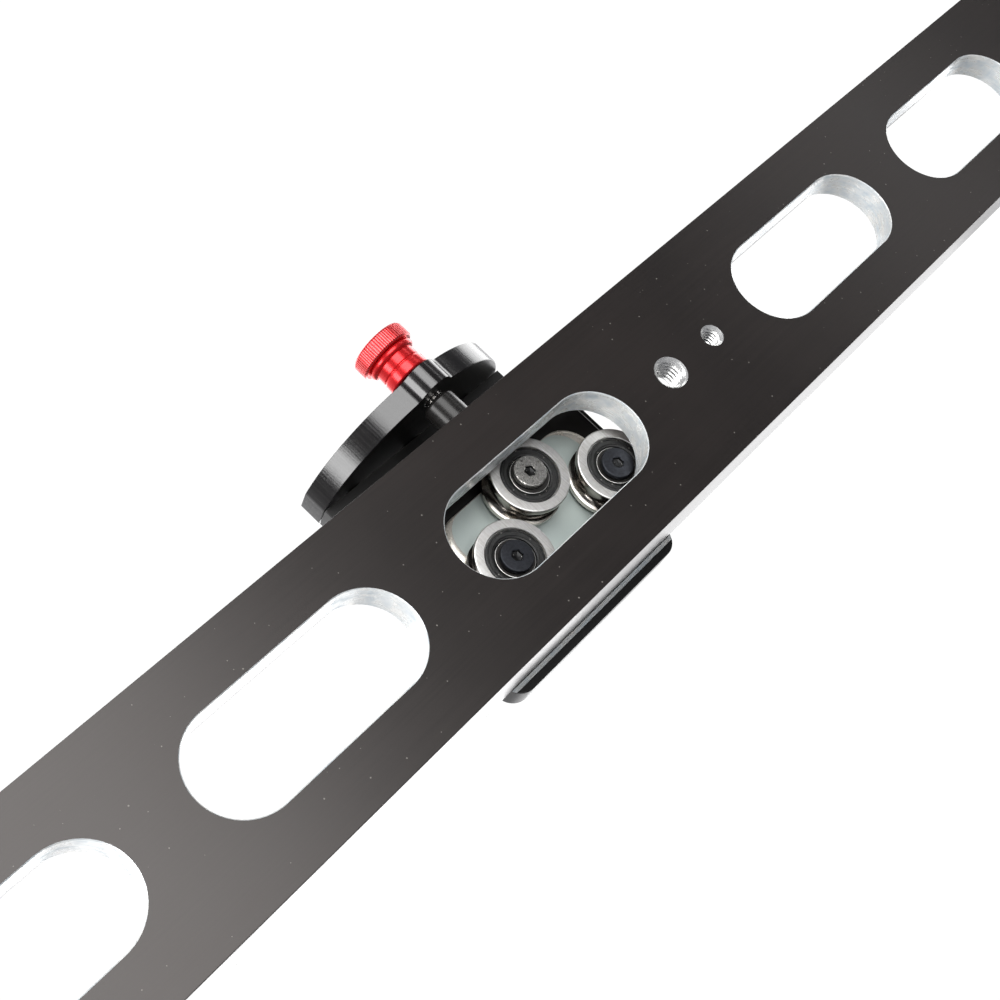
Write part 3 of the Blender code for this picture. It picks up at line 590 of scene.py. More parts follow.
@dataclass(frozen=True)
class Ring:
    """One station of a turned piece: its radius and height, and its shape across the axis."""

    radius: float
    height: float
    section: Section = Section.ROUND
    teeth: int = 0
    depth: float = 0.0

    def reach(self, angle: float) -> float:
        """The surface's distance from the axis.

        Args:
            angle: The way round the axis, in radians.

        Returns:
            The distance.
        """
        if self.section is Section.HEXAGON:
            third = math.pi / 3
            return self.radius / math.cos((angle + third / 2) % third - third / 2)
        if self.section is Section.KNURL:
            share = (angle * self.teeth / (2 * math.pi) + KNURL_START) % 1
            return self.radius - (self.depth if share > KNURL_CREST else 0.0)
        return self.radius


def rings(profile: Outline) -> list[Ring]:
    """Round stations from radius and height pairs."""
    return [Ring(radius, height) for radius, height in profile]


def turned(name: str, stations: list[Ring], steps: int, closed: bool = False) -> bpy.types.Mesh:
    """Spin stations about local Z.

    Args:
        name: The mesh's name.
        stations: The profile, from the top down its outer side.
        steps: Flats round the piece.
        closed: Whether the last station joins the first.

    Returns:
        The mesh, with one vertex wherever a station meets the axis.
    """
    points: list[Place] = []
    columns: list[list[int]] = []
    for station in stations:
        if station.radius < SAME_PLACE:
            columns.append([len(points)] * steps)
            points.append((0.0, 0.0, station.height))
            continue
        columns.append(list(range(len(points), len(points) + steps)))
        for i in range(steps):
            angle = 2 * math.pi * i / steps
            reach = station.reach(angle)
            points.append((reach * math.cos(angle), reach * math.sin(angle), station.height))
    faces = []
    for k in range(len(stations) if closed else len(stations) - 1):
        upper, lower = columns[k], columns[(k + 1) % len(stations)]
        for i in range(steps):
            j = (i + 1) % steps
            corners = [upper[i], lower[i], lower[j], upper[j]]
            faces.append(tuple(dict.fromkeys(corners)))
    mesh = bpy.data.meshes.new(name)
    mesh.from_pydata(points, [], [face for face in faces if len(face) > 2])
    return mesh


@dataclass(frozen=True)
class Thread:
    """A screw thread: its outside radius and pitch. The form is 60 degrees with small flats."""

    radius: float
    pitch: float

    @property
    def root(self) -> float:
        """The radius at the bottom of the thread."""
        return self.radius - THREAD_DEPTH_SHARE * self.pitch

    def mesh(self, name: str, low: float, high: float, steps: int = 48) -> bpy.types.Mesh:
        """A threaded rod between two heights, chamfered at both ends.

        Args:
            name: The mesh's name.
            low: The rod's lower end.
            high: Its upper end.
            steps: Flats round the rod.

        Returns:
            The closed mesh.
        """
        form = ((0.0, self.root), (0.12, self.root), (0.5, self.radius), (0.62, self.radius))
        turns = math.ceil((high - low) / self.pitch) + 3
        heights = [(low + (turn - 1.5 + share) * self.pitch, radius)
                   for turn in range(turns) for share, radius in form]
        points = []
        for i in range(steps):
            angle = 2 * math.pi * i / steps
            for height, radius in heights:
                z = min(high, max(low, height + self.pitch * i / steps))
                reach = min(radius, self.root + min(z - low, high - z))
                points.append((reach * math.cos(angle), reach * math.sin(angle), z))
        count, shift = len(heights), len(form)
        faces = []
        for i in range(steps):
            last = i == steps - 1
            for k in range(count - 1 - (shift if last else 0)):
                far = k + shift if last else (i + 1) * count + k
                faces.append((i * count + k, far, far + 1, i * count + k + 1))
        shape = bmesh.new()
        made = [shape.verts.new(point) for point in points]
        for face in faces:
            shape.faces.new([made[i] for i in face])
        bmesh.ops.remove_doubles(shape, verts=shape.verts, dist=SAME_PLACE)
        bmesh.ops.dissolve_degenerate(shape, edges=shape.edges, dist=1e-8)
        bmesh.ops.delete(shape, geom=[e for e in shape.edges if not e.link_faces], context="EDGES")
        bmesh.ops.delete(shape, geom=[v for v in shape.verts if not v.link_edges], context="VERTS")
        bmesh.ops.holes_fill(shape, edges=[e for e in shape.edges if e.is_boundary], sides=0)
        bmesh.ops.recalc_face_normals(shape, faces=shape.faces)
        mesh = bpy.data.meshes.new(name)
        shape.to_mesh(mesh)
        shape.free()
        return mesh


@dataclass(frozen=True)
class Cutter:
    """A shape taken out of a piece, the finish it leaves and where it goes."""

    mesh: bpy.types.Mesh
    finish: Finish
    location: Place = (0.0, 0.0, 0.0)
    facing: Facing = Facing.UP


@dataclass
class Piece:
    """One shown piece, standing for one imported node."""

    node: str
    mesh: bpy.types.Mesh
    finishes: tuple[Finish, ...]
    body: Body
    slot: Slot
    location: Place = (0.0, 0.0, 0.0)
    facing: Facing = Facing.UP
    cutters: tuple[Cutter, ...] = ()

    def place(self) -> bpy.types.Object:
        """Put the piece in the scene, cut it, shade it and tie it to its body.

        Returns:
            The shown object.
        """
        shown = bpy.data.objects.new(self.node + "_shown", self.mesh)
        bpy.context.scene.collection.objects.link(shown)
        shown.location = self.location
        shown.rotation_euler = self.facing.value
        for finish in self.finishes:
            self.mesh.materials.append(Finishes.get(finish))
        if self.cutters:
            self.carve(shown)
        shown.data.shade_smooth()
        shown.data.set_sharp_from_angle(angle=CREASE_ANGLE)
        even = shown.modifiers.new("even_shading", "WEIGHTED_NORMAL")
        even.keep_sharp = True
        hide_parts(self.node)
        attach(shown, self.body.value)
        LOG.info("placed %s with %d faces", shown.name, len(shown.data.polygons))
        return shown

    def carve(self, shown: bpy.types.Object) -> None:
        """Cut every cutter out of the piece and leave its finish on the cut faces."""
        tools = []
        for cutter in self.cutters:
            tool = bpy.data.objects.new("cutter", cutter.mesh)
            cutter.mesh.materials.append(Finishes.get(cutter.finish))
            tool.location = cutter.location
            tool.rotation_euler = cutter.facing.value
            bpy.context.scene.collection.objects.link(tool)
            boolean = shown.modifiers.new("cut", "BOOLEAN")
            boolean.operation = "DIFFERENCE"
            boolean.solver = "EXACT"
            boolean.material_mode = "TRANSFER"
            boolean.object = tool
            tools.append(tool)
        bpy.context.view_layer.update()
        seen = shown.evaluated_get(bpy.context.evaluated_depsgraph_get())
        shown.data = bpy.data.meshes.new_from_object(seen)
        shown.modifiers.clear()
        for tool in tools:
            bpy.data.objects.remove(tool, do_unlink=True)


# ---------------------------------------------------------------- fastenings


@dataclass(frozen=True)
class SocketScrew:
    """A socket screw: its seat is at local z = 0, its head above and its shank below."""

    head_radius: float
    head_height: float
    radius: float
    hexagon: float
    finish: Finish = Finishes.OXIDE_STEEL
    socket_bands: int = 2

    def mesh(self, name: str, length: float, steps: int = 72) -> bpy.types.Mesh:
        """The screw's mesh.

        Args:
            name: The mesh's name.
            length: The shank's length.
            steps: Flats round the screw, a multiple of six.

        Returns:
            The mesh.
        """
        top, rim = self.head_height, self.head_height * 0.14
        flat = self.hexagon / 2
        mouth = flat / math.cos(math.pi / 6) * 1.04
        floor = top - self.head_height * 0.62
        stations = [
            Ring(0.0, floor - flat * 0.3), Ring(flat * 0.96, floor, Section.HEXAGON),
            Ring(flat, floor + flat * 0.1, Section.HEXAGON),
            Ring(flat, top - flat * 0.14, Section.HEXAGON), Ring(mouth, top - flat * 0.02),
            Ring(mouth * 1.02, top), Ring(self.head_radius - rim * 1.6, top),
            Ring(self.head_radius - rim * 0.8, top - rim * 0.35),
            Ring(self.head_radius - rim * 0.2, top - rim), Ring(self.head_radius, top - rim * 1.6),
            Ring(self.head_radius, rim * 0.5), Ring(self.head_radius - rim * 0.5, 0.0),
            Ring(self.radius, 0.0), Ring(self.radius, self.radius * 0.3 - length),
            Ring(self.radius * 0.7, -length), Ring(0.0, -length)]
        mesh = turned(name, stations, steps)
        # The socket's bands take the painted shade and glints
        slots = [1 if i // steps <= self.socket_bands else 0 for i in range(len(mesh.polygons))]
        mesh.polygons.foreach_set("material_index", slots)
        return mesh

    @property
    def finishes(self) -> tuple[Finish, Finish]:
        """The head's finish, then its socket's painted shade and glints."""
        return self.finish, Finishes.SOCKET_SHADE_AND_GLINTS


SMALL_SCREW = SocketScrew(3.5 * MM, 2.2 * MM, 2.0 * MM, 2.5 * MM)


# ---------------------------------------------------------------- the rail


@dataclass
class Rail:
    """The extruded channel with its slots, tripod threads, rods, end plates and bumpers."""

    length: float = 0.600
    width: float = 0.060
    height: float = 0.040
    web: float = 0.010
    channel_half: float = 0.0194
    rod_radius: float = 0.003
    rod_y: float = 0.0197
    rod_z: float = 0.0182
    groove_radius: float = 0.0033
    slot_width: float = 0.0286
    slot_length: float = 0.071
    slot_land: float = 0.0194
    centre_land: float = 0.0589
    slot_break: float = 0.00025
    thread_spacing: float = 0.0203
    thread_mouth: float = 0.0004
    large: Thread = Thread(0.1875 * INCH, INCH / 16)
    small: Thread = Thread(0.125 * INCH, INCH / 20)
    end_inner: float = 0.3003
    end_thickness: float = 0.006
    end_screw_z: float = 0.032
    bumper_radius: float = 0.005
    bumper_length: float = 0.010
    bumper_z: float = 0.0341
    edge_ease: float = 0.00035
    rod_ease: float = 0.0003
    end_corner: float = 0.003
    end_ease: float = 0.0005
    end_screw_length: float = 0.013

    @property
    def wall_y(self) -> float:
        """The middle of a channel wall."""
        return (self.channel_half + self.width / 2) / 2

    def section(self) -> Outline:
        """Draw the channel's cross-section.

        Returns:
            The outline in Y and Z, counter-clockwise.
        """
        half = self.width / 2
        opening = math.acos((self.rod_y - self.channel_half) / self.groove_radius)
        right = arc((self.rod_y, self.rod_z), self.groove_radius, 3 * math.pi - opening,
                    math.pi + opening, 24)
        left = [(-y, z) for y, z in reversed(right)]
        corners = [(-half, 0), (half, 0), (half, self.height), (self.channel_half, self.height)]
        inner = [(self.channel_half, self.web), (-self.channel_half, self.web)]
        outer = [(-self.channel_half, self.height), (-half, self.height)]
        return eased(corners + right + inner + left + outer, self.edge_ease)

    def slot_cutter(self, x: float) -> Cutter:
        """Shape a slot with a broken edge at both mouths.

        Args:
            x: The slot's middle along the rail.

        Returns:
            The cutter.
        """
        shape = stadium(self.slot_length, self.slot_width)
        out = 1 * MM
        wide = grown(shape, out + self.slot_break)
        levels = [(-out, wide), (self.slot_break, shape), (self.web - self.slot_break, shape),
                  (self.web + out, wide)]
        return Cutter(loft("slot", levels), Finishes.CUT_ALUMINIUM, (x, 0, 0))

    def thread_cutters(self, x: float, thread: Thread) -> list[Cutter]:
        """Shape a tapped hole.

        Args:
            x: The hole's place along the rail.
            thread: The hole's thread.

        Returns:
            The cutters for the thread and for the countersink at its mouth.
        """
        past = 1.3 * MM
        tapped = thread.mesh("tapped", -past, self.web + past)
        sink = thread.radius + self.thread_mouth
        deep = past * 0.9
        cone = rings([(0, deep), (sink - deep, deep), (sink + past, -past), (0, -past)])
        return [Cutter(tapped, Finishes.TAPPED_ALUMINIUM, (x, 0, 0)),
                Cutter(turned("countersink", cone, 48), Finishes.TAPPED_ALUMINIUM, (x, 0, 0))]

    def slot_centres(self) -> list[float]:
        """Space the slots evenly on both sides of the threads.

        Returns:
            Their middles along the rail.
        """
        first = (self.centre_land + self.slot_length) / 2
        right = [first + (self.slot_length + self.slot_land) * i for i in range(3)]
        return [-x for x in right] + right

    def build(self) -> None:
        """Build and place the rail and everything fixed to it."""
        cutters = [self.slot_cutter(x) for x in self.slot_centres()]
        cutters += self.thread_cutters(-self.thread_spacing / 2, self.large)
        cutters += self.thread_cutters(self.thread_spacing / 2, self.small)
        mesh = loft("rail_body", [(-self.length / 2, self.section()),
                                  (self.length / 2, self.section())])
        Piece("rail_body", mesh, (Finishes.RAIL_BLACK,), Body.RAIL, Slot.BLACK,
              facing=Facing.SECTION, cutters=tuple(cutters)).place()
        for name, side in (("brake_side", -1), ("far_side", 1)):
            half = self.length / 2
            profile = eased([(0, half), (self.rod_radius, half), (self.rod_radius, -half),
                             (0, -half)], self.rod_ease, closed=False)
            rod = turned("track_rod", rings(profile), 64)
            Piece("track_rod_" + name, rod, (Finishes.ROD_STEEL,), Body.RAIL, Slot.BRIGHT,
                  (0, side * self.rod_y, self.rod_z), Facing.ALONG_X).place()
        for end, name in ((-1, "left"), (1, "right")):
            self.build_end(end, name)

    def build_end(self, end: int, name: str) -> None:
        """Build one end plate, its two screws and its bumper.

        Args:
            end: -1 for the left end, 1 for the right.
            name: The end's name.
        """
        half = self.width / 2
        outline = rounded_rectangle((-half, 0), (half, self.height), self.end_corner)
        plate = slab("end_plate", outline, 0, self.end_thickness, self.end_ease)
        low = end * self.end_inner if end > 0 else end * (self.end_inner + self.end_thickness)
        Piece("end_plate_" + name, plate, (Finishes.CARRIAGE_BLACK,), Body.RAIL, Slot.BLACK,
              (low, 0, 0), Facing.SECTION).place()
        outwards = Facing.ALONG_X if end > 0 else Facing.AGAINST_X
        inwards = Facing.AGAINST_X if end > 0 else Facing.ALONG_X
        seat = end * (self.end_inner + self.end_thickness + TOUCH_GAP)
        for place, side in (("brake_side", -1), ("far_side", 1)):
            screw = SMALL_SCREW.mesh("end_screw", self.end_screw_length, 48)
            Piece(f"end_screw_{name}_{place}", screw, SMALL_SCREW.finishes, Body.RAIL, Slot.DARK,
                  (seat, side * self.wall_y, self.end_screw_z), outwards).place()
        radius, length = self.bumper_radius, self.bumper_length
        profile = [(0, length), (radius * 0.75, length), (radius * 0.86, length * 0.94),
                   (radius * 0.9, length * 0.84), (radius * 0.93, length * 0.55),
                   (radius * 0.86, length * 0.5), (radius * 0.86, length * 0.42),
                   (radius * 0.94, length * 0.37), (radius, length * 0.04), (radius * 0.97, 0),
                   (0, 0)]
        Piece("bumper_" + name, turned("bumper", rings(profile), 48), (Finishes.RUBBER,), Body.RAIL,
              Slot.RUBBER, (end * self.length / 2, 0, self.bumper_z), inwards).place()


# ---------------------------------------------------------------- the rollers


@dataclass
class Roller:
    """One grooved roller on its bearing, held by an axle screw."""

    name: str
    body: Body
    x: float
    y: float
    screw_shift: float = 0.0
    head_finish: Finish = Finishes.OXIDE_STEEL
    radius: float = 0.0116
    width: float = 0.010
    bottom: float = 0.0132
    rod_offset: float = 0.0126
    groove_radius: float = 0.0033
    seal_radius: float = 0.0084
    seal_recess: float = 0.0003
    seal_thickness: float = 0.0008
    bore: float = 0.0079
    inner_radius: float = 0.00575
    inner_bore: float = 0.0040
    inner_recess: float = 0.0006
    spacer_height: float = 0.0010
    bush_bore: float = 0.0033
    balls: int = 8
    ball_radius: float = 0.00075
    ball_start: float = 0.37
    cage_half: Point = (0.00035, 0.00055)
    screw_sizes: tuple[float, ...] = (0.0048, 0.0016, 0.0025, 0.0030)
    screw_hold_z: float = 0.0264
    screw_grip: float = 0.008
    steps: int = 120

    @property
    def middle(self) -> float:
        """The height of the roller's middle."""
        return self.bottom + self.width / 2

    def outer_ring(self) -> bpy.types.Mesh:
        """Turn the outer ring, with its groove and the seats of its seals.

        Returns:
            The mesh, with its groove in the second material.
        """
        half, edge = self.width / 2, 0.45 * MM
        seat = self.seal_radius + TOUCH_GAP
        deep = self.seal_recess + self.seal_thickness + TOUCH_GAP
        meeting = math.acos((self.rod_offset - self.radius) / self.groove_radius)
        groove = arc((self.rod_offset, 0), self.groove_radius, math.pi - meeting,
                     math.pi + meeting, 18)
        lip = 0.16 * MM
        outside = [(seat + lip, half), (self.radius - edge, half),
                   (self.radius - edge * 0.3, half - edge * 0.3), (self.radius, half - edge)]
        lower = [(r, -z) for r, z in reversed(outside)]
        inside = [(seat, lip - half), (seat, deep - half), (self.bore, deep - half),
                  (self.bore, half - deep), (seat, half - deep), (seat, half - lip)]
        mesh = turned("outer_ring", rings(outside + groove + lower + inside), self.steps, True)
        first = len(outside)
        bands = range(first - 1, first + len(groove))
        slots = [1 if i // self.steps in bands else 0 for i in range(len(mesh.polygons))]
        mesh.polygons.foreach_set("material_index", slots)
        return mesh

    def seal(self, sign: int) -> bpy.types.Mesh:
        """Turn a seal with its moulded steps.

        Args:
            sign: -1 for the front seal, 1 for the back one.

        Returns:
            The mesh.
        """
        face = self.width / 2 - self.seal_recess
        inner = self.inner_radius + TOUCH_GAP
        steps = ((self.seal_radius, 0.8), (self.seal_radius, 0.10), (8.25, 0.0), (7.95, 0.0),
                 (7.85, 0.16), (7.65, 0.16), (7.55, 0.03), (6.75, 0.03), (6.6, 0.22), (6.4, 0.28),
                 (6.25, 0.12), (inner, 0.2), (inner, 0.8))
        profile = [(r if r < 1 else r * MM, face - depth * MM) for r, depth in steps]
        if sign < 0:
            profile = [(r, -z) for r, z in reversed(profile)]
        return turned("seal", rings(profile), self.steps, True)

    def cage(self) -> bpy.types.Mesh:
        """Make the pressed cage and put its balls in it.

        Returns:
            The mesh.
        """
        middle = (self.inner_radius + self.bore) / 2
        half, rise = self.cage_half
        band = [(middle + half, rise), (middle + half, -rise), (middle - half, -rise),
                (middle - half, rise)]
        mesh = turned("ball_cage", rings(eased(band, 0.1 * MM)), 48, True)
        side = arc((0, 0), self.ball_radius, QUARTER_TURN, -QUARTER_TURN, 10)
        ball = turned("ball", rings(side), 16)
        shape = bmesh.new()
        shape.from_mesh(mesh)
        for i in range(self.balls):
            angle = 2 * math.pi * (i + self.ball_start) / self.balls
            before = len(shape.verts)
            shape.from_mesh(ball)
            shape.verts.ensure_lookup_table()
            spot = (middle * math.cos(angle), middle * math.sin(angle), 0)
            bmesh.ops.translate(shape, vec=spot, verts=shape.verts[before:])
        shape.to_mesh(mesh)
        shape.free()
        return mesh

    def sleeve(self, name: str, outer: float, inner: float, low: float,
               high: float) -> bpy.types.Mesh:
        """A plain sleeve with broken edges.

        Args:
            name: The mesh's name.
            outer: Its outer radius.
            inner: Its bore's radius.
            low: Its lower face.
            high: Its upper face.

        Returns:
            The mesh.
        """
        profile = [(outer, high), (outer, low), (inner, low), (inner, high)]
        return turned(name, rings(eased(profile, 0.15 * MM)), self.steps // 2, True)

    def build(self) -> None:
        """Build and place the roller's pieces, from the ring to the screw."""
        axis = (self.x, self.y, self.middle)
        node = "roller_" + self.name
        front = self.inner_recess - self.width / 2
        back = self.width / 2
        screw_at = self.y + self.screw_shift
        spins = [
            ("_outer_ring", self.outer_ring(), (Finishes.GROUND_STEEL, Finishes.POLISHED_STEEL),
             Slot.BEARING),
            ("_ball_cage", self.cage(), (Finishes.POLISHED_STEEL,), Slot.BEARING),
            ("_seal_front", self.seal(-1), (Finishes.RUBBER,), Slot.RUBBER),
            ("_seal_back", self.seal(1), (Finishes.RUBBER,), Slot.RUBBER)]
        for ending, mesh, finishes, slot in spins:
            Piece(node + ending, mesh, finishes, self.body, slot, axis).place()
        ring = self.sleeve("inner_ring", self.inner_radius, self.inner_bore, front, back)
        # All but the ring's front outer edge take the darker finish
        flats = self.steps // 2
        slots = [1 if i // flats in (3, 4) else 0 for i in range(len(ring.polygons))]
        ring.polygons.foreach_set("material_index", slots)
        Piece(node + "_inner_ring", ring, (Finishes.DARK_RING_STEEL, Finishes.GROUND_STEEL),
              Body.CARRIAGE, Slot.BEARING, axis).place()
        bush = self.sleeve("bush", self.inner_bore - TOUCH_GAP, self.bush_bore, front, back)
        Piece(node + "_bush", bush, (Finishes.WORN_STEEL,), Body.CARRIAGE, Slot.BEARING,
              axis).place()
        top = self.bottom + self.width
        spacer = self.sleeve("spacer", self.inner_radius, self.bush_bore, top + TOUCH_GAP,
                             top + self.spacer_height - TOUCH_GAP)
        Piece(node + "_spacer", spacer, (Finishes.GROUND_STEEL,), Body.CARRIAGE, Slot.BEARING,
              (self.x, self.y, 0)).place()
        screw = SocketScrew(*self.screw_sizes, self.head_finish)
        seat = self.bottom + self.inner_recess - TOUCH_GAP
        shank = self.screw_hold_z - seat + self.screw_grip
        Piece(node + "_axle_screw", screw.mesh("axle_screw", shank, 96), screw.finishes,
              Body.CARRIAGE, Slot.DARK, (self.x, screw_at, seat), Facing.DOWN).place()


# ---------------------------------------------------------------- the carriage


@dataclass
class Carriage:
    """Roller plate, block, top plate, camera mount and the three rollers."""

    x: float = -0.059
    row_offset: float = 0.0071
    pair_spacing: float = 0.0443
    roller_plate: Place = (0.060, 0.029, 0.0022)
    roller_plate_corner: float = 0.0092
    roller_plate_rim: Place = (0.0038, 0.0005, 0.0018)
    roller_plate_z: float = 0.0242
    block: Place = (0.077, 0.036, 0.0148)
    block_step: Place = (0.0023, 0.0006, 0.0012)
    block_z: float = 0.0267
    plate_length: float = 0.0752
    plate_low_y: float = -0.0425
    plate_high_y: float = 0.0337
    plate_z: float = 0.0418
    plate_thickness: float = 0.0082
    plate_corner: float = 0.006
    rebate_y: float = 0.0307
    rebate_width: float = 0.0012
    rebate_depth: float = 0.0002
    plate_ease: float = 0.0003
    block_corner: float = 0.0008
    eccentric_throw: float = 0.0005
    screw_offset: Point = (0.026, 0.011)
    screw_recess: float = 0.0025
    screw_grip: float = 0.007
    counterbore: Place = (0.0038, 0.0028, 0.0003)
    stud: Thread = Thread(0.1875 * INCH, INCH / 16)
    stud_low: float = 0.0448
    stud_top: float = 0.0615
    stud_gap: float = 0.0006
    pad_radius: float = 0.024
    pad_thickness: float = 0.0015

    def screw_places(self) -> list[tuple[str, float, float]]:
        """The four screws that hold the block, by name and place."""
        along, across = self.screw_offset
        return [(f"{end}_{side}", self.x + a * along, b * across)
                for end, a in (("left", -1), ("right", 1))
                for side, b in (("brake_side", -1), ("far_side", 1))]

    def build(self) -> None:
        """Build and place the carriage."""
        half = self.pair_spacing / 2
        Roller("eccentric", Body.ROLLER_ECCENTRIC, self.x, -self.row_offset,
               -self.eccentric_throw, Finishes.WORN_STEEL).build()
        Roller("left", Body.ROLLER_LEFT, self.x - half, self.row_offset).build()
        Roller("right", Body.ROLLER_RIGHT, self.x + half, self.row_offset).build()
        self.build_plates()
        self.build_top()
        self.build_mount()

    def build_plates(self) -> None:
        """The pale plate under the rollers and the block that carries it."""
        length, width, thickness = self.roller_plate
        outline = rounded_rectangle((-length / 2, -width / 2), (length / 2, width / 2),
                                    self.roller_plate_corner)
        end, side, up = self.roller_plate_rim
        chords = 6
        turns = [QUARTER_TURN * i / chords for i in range(chords + 1)]
        inwards = [(1 - math.cos(a), 1 - math.sin(a)) for a in turns]
        rim = [(up * rise, squeezed(outline, (end * left, side * left))) for rise, left in inwards]
        # The rim's bands take the paler finish, a painted highlight
        mesh = loft("roller_plate", rim + [(thickness, outline)], tuple(range(chords)))
        Piece("roller_plate", mesh, (Finishes.SATIN, Finishes.RIM_HIGHLIGHT_ALUMINIUM), Body.CARRIAGE,
              Slot.SATIN, (self.x, 0, self.roller_plate_z)).place()
        length, width, height = self.block
        outline = eased([(-length / 2, -width / 2), (length / 2, -width / 2),
                         (length / 2, width / 2), (-length / 2, width / 2)], self.block_corner)
        end, side, rise = self.block_step
        # How far up and how far in: the edge band with its painted highlight, the step's wall and
        # then the full width
        shares = ((0.0, 1.0), (0.16, 0.8), (0.98, 0.8), (1.0, 0.0))
        levels = [(rise * up, squeezed(outline, (end * left, side * left))) for up, left in shares]
        levels += [(height - side, outline), (height, grown(outline, -side))]
        mesh = loft("carriage_block", levels, (0,))
        Piece("carriage_block", mesh, (Finishes.CARRIAGE_BLACK, Finishes.EDGE_HIGHLIGHT),
              Body.CARRIAGE, Slot.BLACK, (self.x, 0, self.block_z)).place()

    def build_top(self) -> None:
        """The top plate with its counterbores, and the screws in them."""
        half, corner = self.plate_length / 2, self.plate_corner
        level = self.plate_high_y - corner
        outline = [(-half, self.plate_low_y), (half, self.plate_low_y)]
        outline += arc((half - corner, level), corner, 0, QUARTER_TURN, 20)
        outline += arc((corner - half, level), corner, QUARTER_TURN, math.pi, 20)
        mesh = slab("carriage_plate", outline, 0, self.plate_thickness, self.plate_ease)
        radius, sink, edge = self.counterbore
        top, past = self.plate_thickness, 1 * MM
        bore = [(0, top + past), (radius + edge + past, top + past), (radius + edge, top),
                (radius, top - edge), (radius, top - sink), (0, top - sink)]
        cutters = [Cutter(turned("counterbore", rings(bore), 48), Finishes.CARRIAGE_BLACK,
                          (x, y, self.plate_z)) for _, x, y in self.screw_places()]
        near, far = (self.rebate_y + side * self.rebate_width / 2 for side in (-1, 1))
        groove = [(-self.plate_length, near), (self.plate_length, near),
                  (self.plate_length, far), (-self.plate_length, far)]
        cutters.append(Cutter(loft("rebate", [(-past, groove), (self.rebate_depth, groove)]),
                              Finishes.CUT_ALUMINIUM, (self.x, 0, self.plate_z)))
        Piece("carriage_plate", mesh, (Finishes.CARRIAGE_BLACK,), Body.CARRIAGE, Slot.BLACK,
              (self.x, 0, self.plate_z), cutters=tuple(cutters)).place()
        seat = self.plate_z + self.plate_thickness - self.screw_recess
        shank = seat - (self.block_z + self.block[2]) + self.screw_grip
        for name, x, y in self.screw_places():
            screw = SMALL_SCREW.mesh("carriage_screw", shank, 48)
            Piece("carriage_screw_" + name, screw, SMALL_SCREW.finishes, Body.CARRIAGE, Slot.DARK,
                  (x, y, seat)).place()

    def build_mount(self) -> None:
        """The camera stud and the ribbed rubber ring round it."""
        stud = self.stud.mesh("camera_stud", 0.0, self.stud_top - self.stud_low, 64)
        Piece("camera_stud", stud, (Finishes.ROD_STEEL,), Body.CARRIAGE, Slot.BRIGHT,
              (self.x, 0, self.stud_low)).place()
        inner, thick = self.stud.radius + self.stud_gap, self.pad_thickness
        outer = self.pad_radius
        profile: Outline = [(outer - 0.3 * MM, thick), (outer, thick - 0.3 * MM), (outer, 0),
                            (inner, 0), (inner, thick - 0.2 * MM), (inner + 0.2 * MM, thick)]
        rib, radius = 1.6 * MM, inner + 2 * MM
        while radius + rib < outer - 1 * MM:
            profile += [(radius, thick), (radius + rib * 0.15, thick - 0.35 * MM),
                        (radius + rib * 0.4, thick - 0.35 * MM), (radius + rib * 0.55, thick)]
            radius += rib
        pad = turned("camera_pad", rings(profile), 96, True)
        Piece("camera_pad", pad, (Finishes.RUBBER,), Body.CARRIAGE, Slot.RUBBER,
              (self.x, 0, self.plate_z + self.plate_thickness + TOUCH_GAP)).place()


# ---------------------------------------------------------------- the brake


